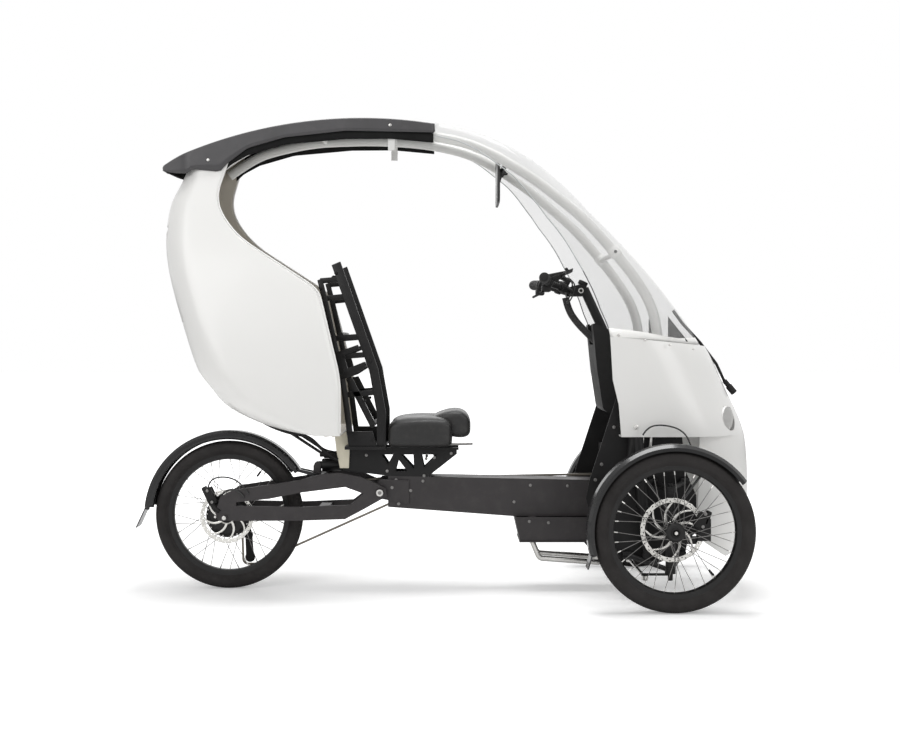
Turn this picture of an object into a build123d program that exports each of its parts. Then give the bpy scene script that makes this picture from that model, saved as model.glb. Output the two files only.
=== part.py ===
from build123d import *
from math import atan2, cos, degrees, radians, sin, sqrt
import os

# Frame: X forward, Y to the left, Z up, ground at Z = 0, all in millimetres
half_length = 1031.0
running_fit = 0.05
seat_gap = 0.3
moving_gap = 6.0

# Wheels
wheel_radius = 250.0
tyre_width = 50.0
tyre_bead_radius = 203.0
rim_inner_radius = 190.0
rim_width = 30.0
spoke_count = 28
spoke_width = 3.0
front_axle_x = 722.0
rear_axle_x = -718.0
half_track = 380.0
rotor_thickness = 2.0
rotor_band = 15.0
rotor_arms = 8
front_rotor_radius = 101.0
rear_rotor_radius = 92.0
front_hub_radius = 21.0
front_flange_radius = 30.0
front_flange_y = 18.0
front_hub_half = 26.0
front_rotor_y = 34.0
stub_axle_radius = 10.0
rear_hub_radius = 68.0
rear_hub_half = 38.0
rear_flange_y = 30.0
rear_rotor_y = 52.0
rear_axle_radius = 7.0
sprocket_radius = 42.0
chain_y = 61.0

# Main beam and what hangs on it
beam_half_width = 50.0
beam_wall = 4.0
beam_rear_x = -177.0
beam_front_x = 803.0
beam_top_rear = 385.0
beam_top_front = 366.0
beam_bottom_rear = 281.0
beam_bottom_front = 250.0
pivot_x = -203.0
pivot_z = 333.0
pivot_radius = 12.0
pivot_boss_radius = 23.0
joint_plate = 6.0
tray_half_width = 74.0
tray_bottom = 171.0
tray_rear_x = 265.0
tray_front_x = 560.0
tray_wall = 4.0
battery_gap = 4.0
skid_radius = 9.0

# Swingarm and rear end
arm_inner_y = 66.0
arm_thickness = 12.0
shock_radius = 20.0
shock_rod_radius = 9.0
shock_rear_x = -418.0
shock_front_x = -308.0
shock_z = 418.0
shock_pin_radius = 6.0
block_rear_x = -440.0
block_front_x = -372.0
block_top_z = 384.0
rear_fender_radius = 286.0
front_fender_radius = 270.0
fender_wall = 3.0
fender_half_width = 32.0
fender_lip = 20.0

# Steering
kingpin_y = 312.0
kingpin_radius = 8.0
ball_low_z = 118.0
ball_high_z = 372.0
ball_half = 9.0
ball_radius = 17.0
steer_arm = 80.0
track_rod_z = 95.0
track_rod_radius = 6.0
steer_limit = 20.0
column_top_x = 490.0
column_top_z = 1009.0
column_lean = 24.8
column_radius = 16.0
head_tube_radius = 23.0
shaft_radius = 12.0

cross_front_x = 826.0
cross_low_z = 262.0
cross_high_z = 630.0

# Crank and pedals
crank_x = 600.0
crank_z = 318.0
crank_length = 150.0
crank_arm_y = 80.0
crank_arm_width = 12.0
spindle_radius = 9.0
chainring_radius = 56.0
pedal_inner_y = 97.0
pedal_outer_y = 181.0
pedal_length = 84.0
pedal_height = 24.0
pedal_pin_radius = 7.0

# Body panels
panel_wall = 4.0
cab_half_width = 256.0
trunk_half_width = 280.0
trunk_corner = 55.0
plate_inner_y = 201.0
plate_thickness = 4.0
nose_half_width = 205.0
hood_floor_z = 532.0
hatch_half_width = 228.0
hatch_low_z = 900.0
hatch_high_z = 1190.0
hatch_gap = 4.0
roof_half_width = 262.0
roof_radius = 1475.0
roof_center_x = -247.7
roof_center_z = 72.2
roof_crown = 16.0
roof_flange = 42.0
roof_skin = 4.0
roof_front_x = -20.0
roof_rear_x = -900.0
tube_y = 180.0
tube_radius = 12.5
tube_wall = 2.0
screen_wall = 3.0

# Seat
pad_half_width = 158.0
bracket_y = 43.0
bracket_thickness = 6.0
rail_top_z = 481.0
back_rail_y = 190.0
back_rail_radius = 11.0

os.makedirs("parts", exist_ok=True)


def side_plate(points, y_low, y_high):
    """Flat outline in X and Z, thick from y_low to y_high."""
    face = Plane.XZ * make_face(Polyline(*points, close=True))
    return Pos(0, y_low, 0) * extrude(face, amount=y_high - y_low, dir=(0, 1, 0))


def across(points, half_width):
    """Side outline made equally wide to both sides."""
    return side_plate(points, -half_width, half_width)


def block(x_low, x_high, y_low, y_high, z_low, z_high):
    size = Box(x_high - x_low, y_high - y_low, z_high - z_low)
    return Pos((x_low + x_high) / 2, (y_low + y_high) / 2, (z_low + z_high) / 2) * size


def mirrored(shape):
    """The same piece on the other side of the vehicle."""
    return mirror(shape, about=Plane.XZ)


def rod(start, end, radius, bore=0.0):
    line = Line(start, end)
    ring = Circle(radius)
    if bore > 0:
        ring -= Circle(bore)
    return extrude(Plane(origin=start, z_dir=line % 0) * ring, amount=line.length)


def bent_rod(points, radius, bend, bore=0.0):
    path = FilletPolyline(*points, radius=bend)
    ring = Circle(radius)
    if bore > 0:
        ring -= Circle(bore)
    return sweep(Plane(origin=path @ 0, z_dir=path % 0) * ring, path=path)


def disc(center, radius, y_low, y_high, bore=0.0):
    """Round plate with its axis across the vehicle."""
    x, z = center
    return rod((x, y_low, z), (x, y_high, z), radius, bore)


def turned(points, x, y, z):
    """Section of (radius, sideways) points turned round the wheel's axis."""
    ring = revolve(make_face(Polyline(*points, close=True)), axis=Axis.Y)
    return Pos(x, y, z) * ring


def make_tyre(x, y):
    half = tyre_width / 2
    section = [
        (tyre_bead_radius + seat_gap, -half * 0.5),
        (tyre_bead_radius + 12, -half * 0.92),
        (wheel_radius - 17, -half),
        (wheel_radius - 5, -half * 0.68),
        (wheel_radius, -half * 0.3),
        (wheel_radius, half * 0.3),
        (wheel_radius - 5, half * 0.68),
        (wheel_radius - 17, half),
        (tyre_bead_radius + 12, half * 0.92),
        (tyre_bead_radius + seat_gap, half * 0.5),
    ]
    return turned(section, x, y, wheel_radius)


def make_rotor(radius, y_low, boss):
    """Brake disc: outer band, curved arms and a centre boss."""
    inner = radius - rotor_band
    plate = Circle(radius) - Circle(inner + 1) + Circle(boss)
    for index in range(rotor_arms):
        turn = 360.0 / rotor_arms * index
        reach = inner - boss * 0.7 + 3
        arm = Pos(boss * 0.7 + reach / 2, boss * 0.45) * Rectangle(reach, 7)
        plate += Rot(0, 0, turn) * Rot(0, 0, 12) * arm
    return Pos(0, y_low + rotor_thickness, 0) * extrude(Plane.XZ * plate, amount=rotor_thickness)


def make_wheel(x, y, hub, flange_radius, flange_y):
    """Rim and crossed spokes on a finished hub."""
    half = rim_width / 2
    rim_section = [
        (tyre_bead_radius, -half),
        (tyre_bead_radius, half),
        (rim_inner_radius + 6, half),
        (rim_inner_radius, half * 0.5),
        (rim_inner_radius, -half * 0.5),
        (rim_inner_radius + 6, -half),
    ]
    wheel = turned(rim_section, 0, 0, 0) + hub
    for index in range(spoke_count):
        side = 1 if index % 2 else -1
        sweep_back = 38.0 if (index // 2) % 2 else -38.0
        rim_turn = radians(360.0 / spoke_count * index)
        hub_turn = rim_turn + radians(sweep_back)
        start = Vector(
            (flange_radius - 4) * cos(hub_turn), side * flange_y, (flange_radius - 4) * sin(hub_turn)
        )
        end = Vector(
            (rim_inner_radius + 3) * cos(rim_turn), side * 2.0, (rim_inner_radius + 3) * sin(rim_turn)
        )
        line = end - start
        square = Plane(origin=start, z_dir=line) * Rectangle(spoke_width, spoke_width)
        wheel += extrude(square, amount=line.length)
    return Pos(x, y, wheel_radius) * wheel


def front_hub(side):
    """Hub with two flanges, its brake disc on the inboard side."""
    hub = disc((0, 0), front_hub_radius, -front_hub_half, front_hub_half)
    for flange in (-front_flange_y, front_flange_y):
        hub += disc((0, 0), front_flange_radius, flange - 2, flange + 2)
    hub += disc((0, 0), front_hub_radius, -front_rotor_y, 0)
    hub += make_rotor(front_rotor_radius, -front_rotor_y, front_hub_radius + 6)
    hub -= disc((0, 0), stub_axle_radius + running_fit, -60, 60)
    return hub if side > 0 else mirrored(hub)


def rear_hub():
    """Wide motor hub with a brake disc on the right and a sprocket on the left."""
    hub = disc((0, 0), rear_hub_radius, -rear_hub_half, rear_hub_half)
    for flange in (-rear_flange_y, rear_flange_y):
        hub += disc((0, 0), rear_hub_radius + 6, flange - 2, flange + 2)
    hub += disc((0, 0), 22, -rear_rotor_y - 4, chain_y + 3)
    hub += make_rotor(rear_rotor_radius, -rear_rotor_y, 28)
    hub += disc((0, 0), sprocket_radius, chain_y - 1.5, chain_y + 1.5)
    hub -= disc((0, 0), rear_axle_radius + running_fit, -90, 90)
    return hub


parts = {}
parts["tyre_rear"] = make_tyre(rear_axle_x, 0)
parts["tyre_left"] = make_tyre(front_axle_x, half_track)
parts["tyre_right"] = make_tyre(front_axle_x, -half_track)
parts["wheel_rear"] = make_wheel(rear_axle_x, 0, rear_hub(), rear_hub_radius + 6, rear_flange_y)
parts["wheel_left"] = make_wheel(
    front_axle_x, half_track, front_hub(1), front_flange_radius, front_flange_y
)
parts["wheel_right"] = make_wheel(
    front_axle_x, -half_track, front_hub(-1), front_flange_radius, front_flange_y
)


# Main beam: a box tube from the swingarm pivot to the front crossmember
def beam_outline(inset):
    low = beam_bottom_front + inset
    return [
        (beam_rear_x + inset, beam_bottom_rear + inset),
            (tray_rear_x - 20, low),
        (beam_front_x + inset, low),
        (beam_front_x + inset, beam_top_front - inset),
        (beam_rear_x + inset, beam_top_rear - inset),
    ]


beam = across(beam_outline(0), beam_half_width)
beam -= block(beam_front_x, beam_front_x + 10, -90, 90, 200, 500)
beam -= across(beam_outline(beam_wall), beam_half_width - beam_wall)
shaft_bearing = rod(
    (front_axle_x, 0, beam_bottom_front), (front_axle_x, 0, beam_top_front), shaft_radius + 8
)
beam += shaft_bearing
beam -= rod((front_axle_x, 0, 200), (front_axle_x, 0, 420), shaft_radius + running_fit)
beam += disc((crank_x, crank_z), spindle_radius + 9, -beam_half_width - 4, beam_half_width + 4)
beam -= disc((crank_x, crank_z), spindle_radius + running_fit, -90, 90)
# Joint plates carry the swingarm pivot behind the beam's end
joint_outline = [
    (pivot_x - 16, pivot_z - 16),
    (pivot_x - 8, pivot_z - 22),
    (beam_rear_x + 70, beam_bottom_rear + 10),
    (beam_rear_x + 70, beam_top_rear - 14),
    (pivot_x, beam_top_rear - 10),
    (pivot_x - 20, pivot_z + 14),
]
for low in (beam_half_width, -beam_half_width - joint_plate):
    beam += side_plate(joint_outline, low, low + joint_plate)
beam += disc((pivot_x, pivot_z), pivot_radius, -arm_inner_y - arm_thickness - 4, arm_inner_y + arm_thickness + 4)
parts["main_beam"] = beam

# Battery tray under the beam, with a slanted rear face
tray_top = beam_bottom_front
tray_outer = [
    (tray_rear_x - 18, tray_top),
    (tray_rear_x, tray_bottom),
    (tray_front_x, tray_bottom),
    (tray_front_x, tray_top),
]
tray_inner = [
    (tray_rear_x - 12, tray_top + 1),
    (tray_rear_x + 6, tray_bottom + tray_wall),
    (tray_front_x - tray_wall, tray_bottom + tray_wall),
    (tray_front_x - tray_wall, tray_top + 1),
]
tray = across(tray_outer, tray_half_width) - across(tray_inner, tray_half_width - tray_wall)
tray += block(tray_rear_x - 2, tray_front_x, -tray_half_width - 6, tray_half_width + 6, tray_bottom - 4, tray_bottom)
# Straps close the tray under the beam
for x in (tray_rear_x + 30, tray_front_x - 60):
    tray += block(x, x + 24, -tray_half_width + 1, tray_half_width - 1, tray_top - tray_wall, tray_top)
parts["battery_tray"] = tray
parts["battery"] = block(
    tray_rear_x + 30,
    tray_front_x - tray_wall - battery_gap,
    -tray_half_width + tray_wall + battery_gap,
    tray_half_width - tray_wall - battery_gap,
    tray_bottom + tray_wall,
    tray_top - tray_wall - 2,
)
skid_low = tray_bottom - 75
skid_y = tray_half_width - 20
skid = bent_rod(
    [
        (tray_rear_x + 40, -skid_y, tray_bottom),
        (tray_rear_x + 66, -skid_y, skid_low + 14),
        (tray_front_x - 30, -skid_y, skid_low),
        (tray_front_x + 4, 0, skid_low),
        (tray_front_x - 30, skid_y, skid_low),
        (tray_rear_x + 66, skid_y, skid_low + 14),
        (tray_rear_x + 40, skid_y, tray_bottom),
    ],
    skid_radius,
    18,
)
parts["skid_tube"] = skid - block(tray_rear_x, tray_front_x, -200, 200, tray_bottom - 4, tray_bottom + 30)

# Footwell sides: flat plates between the front wheels
footwell_outline = [
    (568, 654),
    (481, 388),
    (470, 330),
    (500, 200),
    (560, 132),
    (786, 132),
    (800, 200),
    (cross_front_x, 220),
    (cross_front_x, 340),
    (790, 420),
    (780, 530),
    (740, 654),
]
footwell = side_plate(footwell_outline, plate_inner_y, plate_inner_y + plate_thickness)
parts["footwell_sides"] = Compound([footwell, mirrored(footwell)])

# Front frame: low and high crossmembers, head tube
lean = radians(column_lean)
column_dir = Vector(sin(lean), 0, -cos(lean))
column_top = Vector(column_top_x, 0, column_top_z)


def on_column(distance):
    return column_top + column_dir * distance


cross_y = plate_inner_y
front_frame = block(beam_front_x, cross_front_x, -cross_y, cross_y, cross_low_z, cross_low_z + 60)
head_low = 415.0
head_high = 250.0
front_frame += block(676, 730, -cross_y, cross_y, cross_high_z, cross_high_z + 20)
front_frame += side_plate([(640, 640), (690, 640), (690, 648), (600, 760), (598, 700)], -4, 4)
front_frame += rod(on_column(head_high), on_column(head_low), head_tube_radius)
front_frame -= rod(on_column(head_high - 60), on_column(head_low + 60), column_radius + running_fit)
parts["front_frame"] = front_frame

# Steering: leaning column with bar, upright shaft, track rod and knuckles
grip_x = 333.0
grip_z = 1040.0
grip_end_y = 240.0
column_end = 526.0
stem = side_plate(
    [(425, 990), (425, 1018), (468, 1030), (492, 1026), (500, 1004), (480, 990)], -20, 20
)
column = rod(on_column(-8), on_column(column_end), column_radius, column_radius - 3)
bar_z = 1004.0
bar_x = 438.0
handlebar = stem + column
handlebar += bent_rod(
    [
        (grip_x, -grip_end_y, grip_z),
        (grip_x + 28, -grip_end_y + 154, grip_z - 8.4),
        (bar_x, -50, bar_z),
        (bar_x, 50, bar_z),
        (grip_x + 28, grip_end_y - 154, grip_z - 8.4),
        (grip_x, grip_end_y, grip_z),
    ],
    11,
    35,
)
parts["handlebar"] = handlebar
grip_line = Vector(20, 110, -6).normalized()


def grip_point(distance):
    """Point on the right grip's axis, from the bar's end inwards."""
    return Vector(grip_x, -grip_end_y, grip_z) + grip_line * distance


grip = rod(grip_point(-3), grip_point(98), 17, 11)
grip += rod(grip_point(-3), grip_point(0), 17)
lever_body = rod(grip_point(102), grip_point(118), 19, 11)
lever_body += side_plate([(350, 1030), (425, 1060), (427, 1072), (345, 1056)], -grip_end_y + 100, -grip_end_y + 112)
lever = side_plate([(405, 1052), (425, 1060), (427, 1072), (405, 1064)], -grip_end_y + 20, -grip_end_y + 112)
grips = grip + (lever_body + lever - rod(grip_point(60), grip_point(130), 11))
parts["grips_and_levers"] = Compound([*grips.solids(), *mirrored(grips).solids()])

shaft_top = 500.0
steering_shaft = rod((front_axle_x, 0, track_rod_z - 8), (front_axle_x, 0, shaft_top), shaft_radius)
pitman = block(front_axle_x - steer_arm, front_axle_x, -10, 10, track_rod_z + 8, track_rod_z + 18)
pitman += rod(
    (front_axle_x - steer_arm, 0, track_rod_z + 8), (front_axle_x - steer_arm, 0, track_rod_z + 18), 12
)
pitman += rod(
    (front_axle_x - steer_arm, 0, track_rod_z - 8), (front_axle_x - steer_arm, 0, track_rod_z + 8), 4
)
steering_shaft += pitman
steering_shaft += rod((front_axle_x, 0, shaft_top - 30), (front_axle_x, 0, shaft_top), 18)
parts["steering_shaft"] = steering_shaft
rod_x = front_axle_x - steer_arm
track_rod = rod((rod_x, -kingpin_y, track_rod_z), (rod_x, kingpin_y, track_rod_z), track_rod_radius)
for y in (-kingpin_y, 0, kingpin_y):
    track_rod += rod((rod_x, y, track_rod_z - 7), (rod_x, y, track_rod_z + 7), 11)
for y in (-kingpin_y, 0, kingpin_y):
    track_rod -= rod((rod_x, y, track_rod_z - 9), (rod_x, y, track_rod_z + 9), 4 + running_fit)
parts["track_rod"] = track_rod


def make_knuckle():
    """Left upright: kingpin, stub axle, steering arm and brake caliper."""
    low = ball_low_z + ball_half + 0.5
    high = ball_high_z - ball_half - 0.5
    x = front_axle_x
    y = kingpin_y
    knuckle = rod((x, y, track_rod_z - 8), (x, y, high + 28), kingpin_radius)
    knuckle += rod((x, y, low), (x, y, high), 15)
    knuckle += disc((x, wheel_radius), 22, y, y + 20)
    knuckle += disc((x, wheel_radius), stub_axle_radius, y, half_track + front_hub_half + 4)
    arm_z = track_rod_z + 8
    knuckle += block(x - steer_arm, x, y - 9, y + 9, arm_z, arm_z + 5)
    knuckle += rod((x - steer_arm, y, arm_z), (x - steer_arm, y, arm_z + 5), 11)
    knuckle += rod((x - steer_arm, y, track_rod_z - 8), (x - steer_arm, y, arm_z), 4)
    caliper_x = x + front_rotor_radius - 8
    rotor_y = half_track - front_rotor_y
    caliper = block(caliper_x - 16, caliper_x + 24, rotor_y - 16, rotor_y + 14, 218, 286)
    caliper -= block(caliper_x - 20, caliper_x + 14, rotor_y - 2, rotor_y + 4, 210, 290)
    knuckle += caliper
    knuckle += block(x, caliper_x - 10, y - 6, rotor_y - 6, 205, 225)
    return knuckle


knuckle_left = make_knuckle()
parts["knuckle_left"] = knuckle_left
parts["knuckle_right"] = mirrored(knuckle_left)


def fender(radius, start, end, x, y):
    """Arched guard over a wheel, from start to end degrees above the front."""
    half = fender_half_width
    lip = radius - fender_lip
    wall = fender_wall
    section = [
        (lip, -half),
        (radius - 9, -half),
        (radius, -half + 12),
        (radius, half - 12),
        (radius - 9, half),
        (lip, half),
        (lip, half - wall),
        (radius - 10, half - wall),
        (radius - wall, half - 13),
        (radius - wall, -half + 13),
        (radius - 10, -half + wall),
        (lip, -half + wall),
    ]
    face = make_face(Polyline(*section, close=True))
    guard = revolve(Rot(0, -start, 0) * face, axis=Axis((0, 0, 0), (0, -1, 0)), revolution_arc=end - start)
    return Pos(x, y, wheel_radius) * guard


def around(center_x, radius, angle):
    """Point in the wheel's plane at an angle above straight ahead."""
    turn = radians(angle)
    return (center_x + radius * cos(turn), wheel_radius + radius * sin(turn))


front_fender = fender(front_fender_radius, 36, 196, front_axle_x, half_track)
low_end = around(front_axle_x, front_fender_radius - 2, 195)
flap_end = (low_end[0] - 12, low_end[1] - 42)
front_fender += side_plate(
    [low_end, (low_end[0] + 4, low_end[1]), (flap_end[0] + 4, flap_end[1]), flap_end],
    half_track - fender_half_width + 3,
    half_track + fender_half_width - 3,
)
# Fender stays reach down to the knuckle on the inboard side
stay_y = half_track - fender_half_width
for angle in (60, 120):
    top = around(front_axle_x, front_fender_radius - 14, angle)
    front_fender += rod((top[0], stay_y - 3, top[1]), (front_axle_x + (top[0] - front_axle_x) * 0.04, kingpin_y + 14, 300), 4)
front_fender -= rod((front_axle_x, kingpin_y, 200), (front_axle_x, kingpin_y, 400), 15 + seat_gap)
parts["front_fender_left"] = front_fender
parts["front_fender_right"] = mirrored(front_fender)

# Wishbones: lower and upper pair on each side, ball ends round the kingpins
wish_inner_y = plate_inner_y + plate_thickness


def make_wishbone(z_outer, z_inner, x_rear, x_front):
    x = front_axle_x
    y = kingpin_y
    arm = rod((x, y, z_outer - ball_half), (x, y, z_outer + ball_half), ball_radius)
    for foot in (x_rear, x_front):
        arm += rod((x, y, z_outer), (foot, wish_inner_y + 12, z_inner), 8)
        arm += rod((foot - 14, wish_inner_y + 12, z_inner), (foot + 14, wish_inner_y + 12, z_inner), 12)
    arm -= rod((x, y, z_outer - 40), (x, y, z_outer + 40), kingpin_radius + running_fit)
    return arm


wish_low = make_wishbone(ball_low_z, 150, 600, 775)
wish_high = make_wishbone(ball_high_z, 385, 684, 786)
# Keep the arms out of the upright's own length
upright_clear = rod(
    (front_axle_x, kingpin_y, ball_low_z + ball_half), (front_axle_x, kingpin_y, ball_high_z - ball_half), 21
)
wish_low -= upright_clear
wish_high -= upright_clear
parts["wishbones"] = Compound(
    [wish_low, wish_high, mirrored(wish_low), mirrored(wish_high)]
)
damper_low = Vector(655, 260, 157)
damper_high = Vector(628, 232, 596)
damper_line = (damper_high - damper_low).normalized()
damper = rod(damper_low, damper_low + damper_line * 260, 9)
damper += rod(damper_low + damper_line * 150, damper_high, 17)
damper += disc((damper_low.X, damper_low.Z), 12, damper_low.Y - 10, damper_low.Y + 10)
damper += disc((damper_high.X, damper_high.Z), 12, wish_inner_y + seat_gap, damper_high.Y + 12)
parts["dampers"] = Compound([damper, mirrored(damper)])

# Swingarm: two flat arms with a long slot, cross blocks, dropouts and axle
arm_outer = [
    (-205, 358),
    (-182, 345),
    (-180, 320),
    (-200, 309),
    (-255, 278),
    (-319, 244),
    (-470, 239),
    (-687, 238),
    (-742, 238),
    (-752, 264),
    (-735, 318),
    (-690, 342),
    (-670, 344),
    (-470, 374),
    (-400, 394),
    (-336, 398),
    (-270, 385),
]
arm_slot = [(-256, 328), (-303, 291), (-470, 284), (-683, 288), (-683, 300), (-570, 312), (-470, 332), (-319, 351)]
arm_plate = side_plate(arm_outer, arm_inner_y, arm_inner_y + arm_thickness)
arm_plate -= side_plate(arm_slot, arm_inner_y - 1, arm_inner_y + arm_thickness + 1)
swingarm = arm_plate + mirrored(arm_plate)
swingarm += block(block_rear_x, block_front_x, -arm_inner_y, arm_inner_y, block_top_z - 34, block_top_z)
for low in (9 + seat_gap, -15 - seat_gap):
    ear = block(shock_rear_x - 14, shock_rear_x + 10, low, low + 6, block_top_z - 2, shock_z)
    swingarm += ear + disc((shock_rear_x, shock_z), 12, low, low + 6)
swingarm += disc((shock_rear_x, shock_z), shock_pin_radius, -15 - seat_gap, 15 + seat_gap)
swingarm += side_plate([(-410, 246), (-410, 282), (-375, 282), (-375, 246)], -arm_inner_y, arm_inner_y)
swingarm += disc(
    (rear_axle_x, wheel_radius), rear_axle_radius, -arm_inner_y - arm_thickness - 10, arm_inner_y + arm_thickness + 10
)
swingarm -= disc((pivot_x, pivot_z), pivot_radius + running_fit, -120, 120)
parts["swingarm"] = swingarm

# Rear fender with its flap, carried by a bracket on the swingarm's cross block
rear_fender = fender(rear_fender_radius, 32, 176, rear_axle_x, 0)
flap_top = around(rear_axle_x, rear_fender_radius - 3, 175)
flap_low = (-half_length, 208)
rear_fender += side_plate(
    [flap_top, (flap_top[0] + 4, flap_top[1]), (flap_low[0] + 4, flap_low[1]), flap_low],
    -fender_half_width + 3,
    fender_half_width - 3,
)
strap_low = around(rear_axle_x, rear_fender_radius - 18, 34)
strap_high = around(rear_axle_x, rear_fender_radius - 6, 34)
strap = side_plate(
    [
        strap_low,
        strap_high,
        (block_rear_x, block_top_z + 13),
        (block_front_x - 42, block_top_z + 6),
        (block_front_x - 20, block_top_z + 6),
        (block_front_x - 20, block_top_z),
        (block_rear_x + 2, block_top_z),
    ],
    18,
    28,
)
parts["rear_fender"] = rear_fender + strap + mirrored(strap)

# Rear shock between the swingarm's block and the seat bracket
shock = rod((shock_rear_x + 12, 0, shock_z), (shock_front_x - 26, 0, shock_z), shock_radius)
shock += rod((shock_rear_x + 4, 0, shock_z), (shock_front_x - 4, 0, shock_z), shock_rod_radius)
for x in (shock_rear_x, shock_front_x):
    shock += disc((x, shock_z), 12, -9, 9)
shock += rod((shock_rear_x + 26, 0, shock_z + 6), (shock_rear_x + 26, 0, shock_z + shock_radius + 9), 8)
for x in (shock_rear_x, shock_front_x):
    shock -= disc((x, shock_z), shock_pin_radius + running_fit, -20, 20)
parts["rear_shock"] = shock

# Chain line on the left: tensioner, idlers and chain
guide_x = -664.0
guide_z = 169.0
tension_x = -659.0
tension_z = 93.0
cage_outline = [
    (guide_x - 11, guide_z + 6),
    (guide_x + 11, guide_z + 8),
    (tension_x + 13, tension_z - 4),
    (tension_x, tension_z - 14),
    (tension_x - 13, tension_z - 2),
]
cage_y = chain_y + 3.5
tensioner = side_plate(cage_outline, cage_y, cage_y + 3)
tensioner += side_plate(cage_outline, chain_y - 6.5, chain_y - 3.5)
for x, z, radius in ((guide_x, guide_z, 15), (tension_x, tension_z, 17)):
    tensioner += disc((x, z), radius, chain_y - 2, chain_y + 2)
    tensioner += disc((x, z), 5, chain_y - 6.5, cage_y + 3)
arm_outer_y = arm_inner_y + arm_thickness
tensioner += disc((guide_x, guide_z), 9, cage_y, arm_outer_y + 5)
tensioner += side_plate(
    [(-712, 268), (-694, 274), (guide_x + 9, guide_z + 4), (guide_x, guide_z - 9), (guide_x - 9, guide_z)],
    arm_outer_y,
    arm_outer_y + 5,
)
parts["chain_tensioner"] = tensioner

chain_half = 3.5
ring_reach = chainring_radius + 8
chain_points = [
    (pivot_x, 366),
    (rear_axle_x - sprocket_radius - 8, 300),
    (rear_axle_x - sprocket_radius - 8, 204),
    (guide_x - 22, 190),
    (tension_x - 23, tension_z - 23),
    (tension_x + 19, tension_z - 23),
    (-150, 290),
    (crank_x + ring_reach, crank_z - ring_reach),
    (crank_x + ring_reach, crank_z + ring_reach),
]
chain_bends = [200, 42, 36, 10, 18, 16, 120, 62, 62]
chain_loop = FilletPolyline(*chain_points, radius=chain_bends, close=True)
chain_band = Plane.XZ * trace(chain_loop, line_width=2 * chain_half)
parts["chain"] = Pos(0, chain_y - 2.5, 0) * extrude(chain_band, amount=5, dir=(0, 1, 0))

# Crank with its ring; the two pedals turn on its end pins
crank = disc((crank_x, crank_z), spindle_radius, -crank_arm_y - 6, crank_arm_y + 6)
for side in (1, -1):
    y_in = crank_arm_y
    y_out = crank_arm_y + crank_arm_width
    end_z = crank_z + side * crank_length
    half = side_plate(
        [
            (crank_x - 14, crank_z),
            (crank_x + 14, crank_z),
            (crank_x + 10, end_z),
            (crank_x - 10, end_z),
        ],
        y_in,
        y_out,
    )
    half += disc((crank_x, crank_z), 18, y_in, y_out)
    half += disc((crank_x, end_z), 14, y_in, y_out)
    half += disc((crank_x, end_z), pedal_pin_radius, y_in, pedal_outer_y + 4)
    crank += half if side > 0 else mirrored(half)
ring = Circle(chainring_radius) - Circle(chainring_radius - 14) + Circle(20)
for index in range(5):
    ring += Rot(0, 0, 72 * index) * Pos(chainring_radius / 2, 0) * Rectangle(chainring_radius - 12, 12)
ring_body = extrude(Plane.XZ * ring, amount=3, dir=(0, 1, 0))
crank += Pos(crank_x, chain_y - 1.5, crank_z) * ring_body
parts["crank"] = crank
for name, side in (("pedal_left", 1), ("pedal_right", -1)):
    end_z = crank_z + side * crank_length
    body = block(
        crank_x - pedal_length / 2,
        crank_x + pedal_length / 2,
        pedal_inner_y,
        pedal_outer_y,
        end_z - pedal_height / 2,
        end_z + pedal_height / 2,
    )
    for x in (crank_x - pedal_length / 4 - 3, crank_x + pedal_length / 4 + 3):
        body -= block(x - 8, x + 8, pedal_inner_y + 12, pedal_outer_y - 12, end_z - 20, end_z + 20)
    body -= disc((crank_x, end_z), pedal_pin_radius + running_fit, 60, 220)
    parts[name] = body if side > 0 else mirrored(body)


# Seat: bracket plates on the beam, slide rails, pad and open ladder back
def beam_top(x):
    share = (x - beam_rear_x) / (beam_front_x - beam_rear_x)
    return beam_top_rear + share * (beam_top_front - beam_top_rear)


bracket_low_x = -43.0
bracket_top_z = rail_top_z - 8
bracket_outline = [
    (-322, bracket_top_z),
    (-325, 404),
    (-297, 400),
    (beam_rear_x, beam_top(beam_rear_x)),
    (bracket_low_x, beam_top(bracket_low_x)),
    (54, bracket_top_z - 14),
    (54, bracket_top_z),
]
bracket_holes = [
    [(-136, 457), (-92, 457), (-90, 408)],
    [(-152, 400), (-112, 400), (-142, 440)],
    [(-200, 457), (-160, 457), (-178, 424)],
    [(-66, 457), (-10, 457), (-56, 412)],
]
bracket = side_plate(bracket_outline, bracket_y, bracket_y + bracket_thickness)
for hole in bracket_holes:
    bracket -= side_plate(hole, bracket_y - 1, bracket_y + bracket_thickness + 1)
bracket += mirrored(bracket)
for x, z in ((-262, 440), (-75, 402), (28, 462)):
    bracket += disc((x, z), 8, -bracket_y, bracket_y)
bracket += disc((shock_front_x, shock_z), shock_pin_radius, -bracket_y, bracket_y)
rail_start_x = -302.0
rail_end_x = 60.0
for side in (1, -1):
    edge = sorted((side * bracket_y, side * (bracket_y + 14)))
    bracket += block(rail_start_x, rail_end_x, edge[0], edge[1], bracket_top_z, rail_top_z)
parts["seat_bracket"] = bracket

pad_rear_x = -178.0
pad_outline = [
    (pad_rear_x, rail_top_z),
    (pad_rear_x, 547),
    (-150, 584),
    (-90, 594),
    (-12, 597),
    (36, 611),
    (78, 600),
    (104, 560),
    (104, 530),
    (94, 518),
    (40, 508),
    (5, rail_top_z),
]
pad = across(pad_outline, pad_half_width)
parts["seat_pad"] = fillet(pad.edges().group_by(SortBy.LENGTH)[-1], 9)

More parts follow.
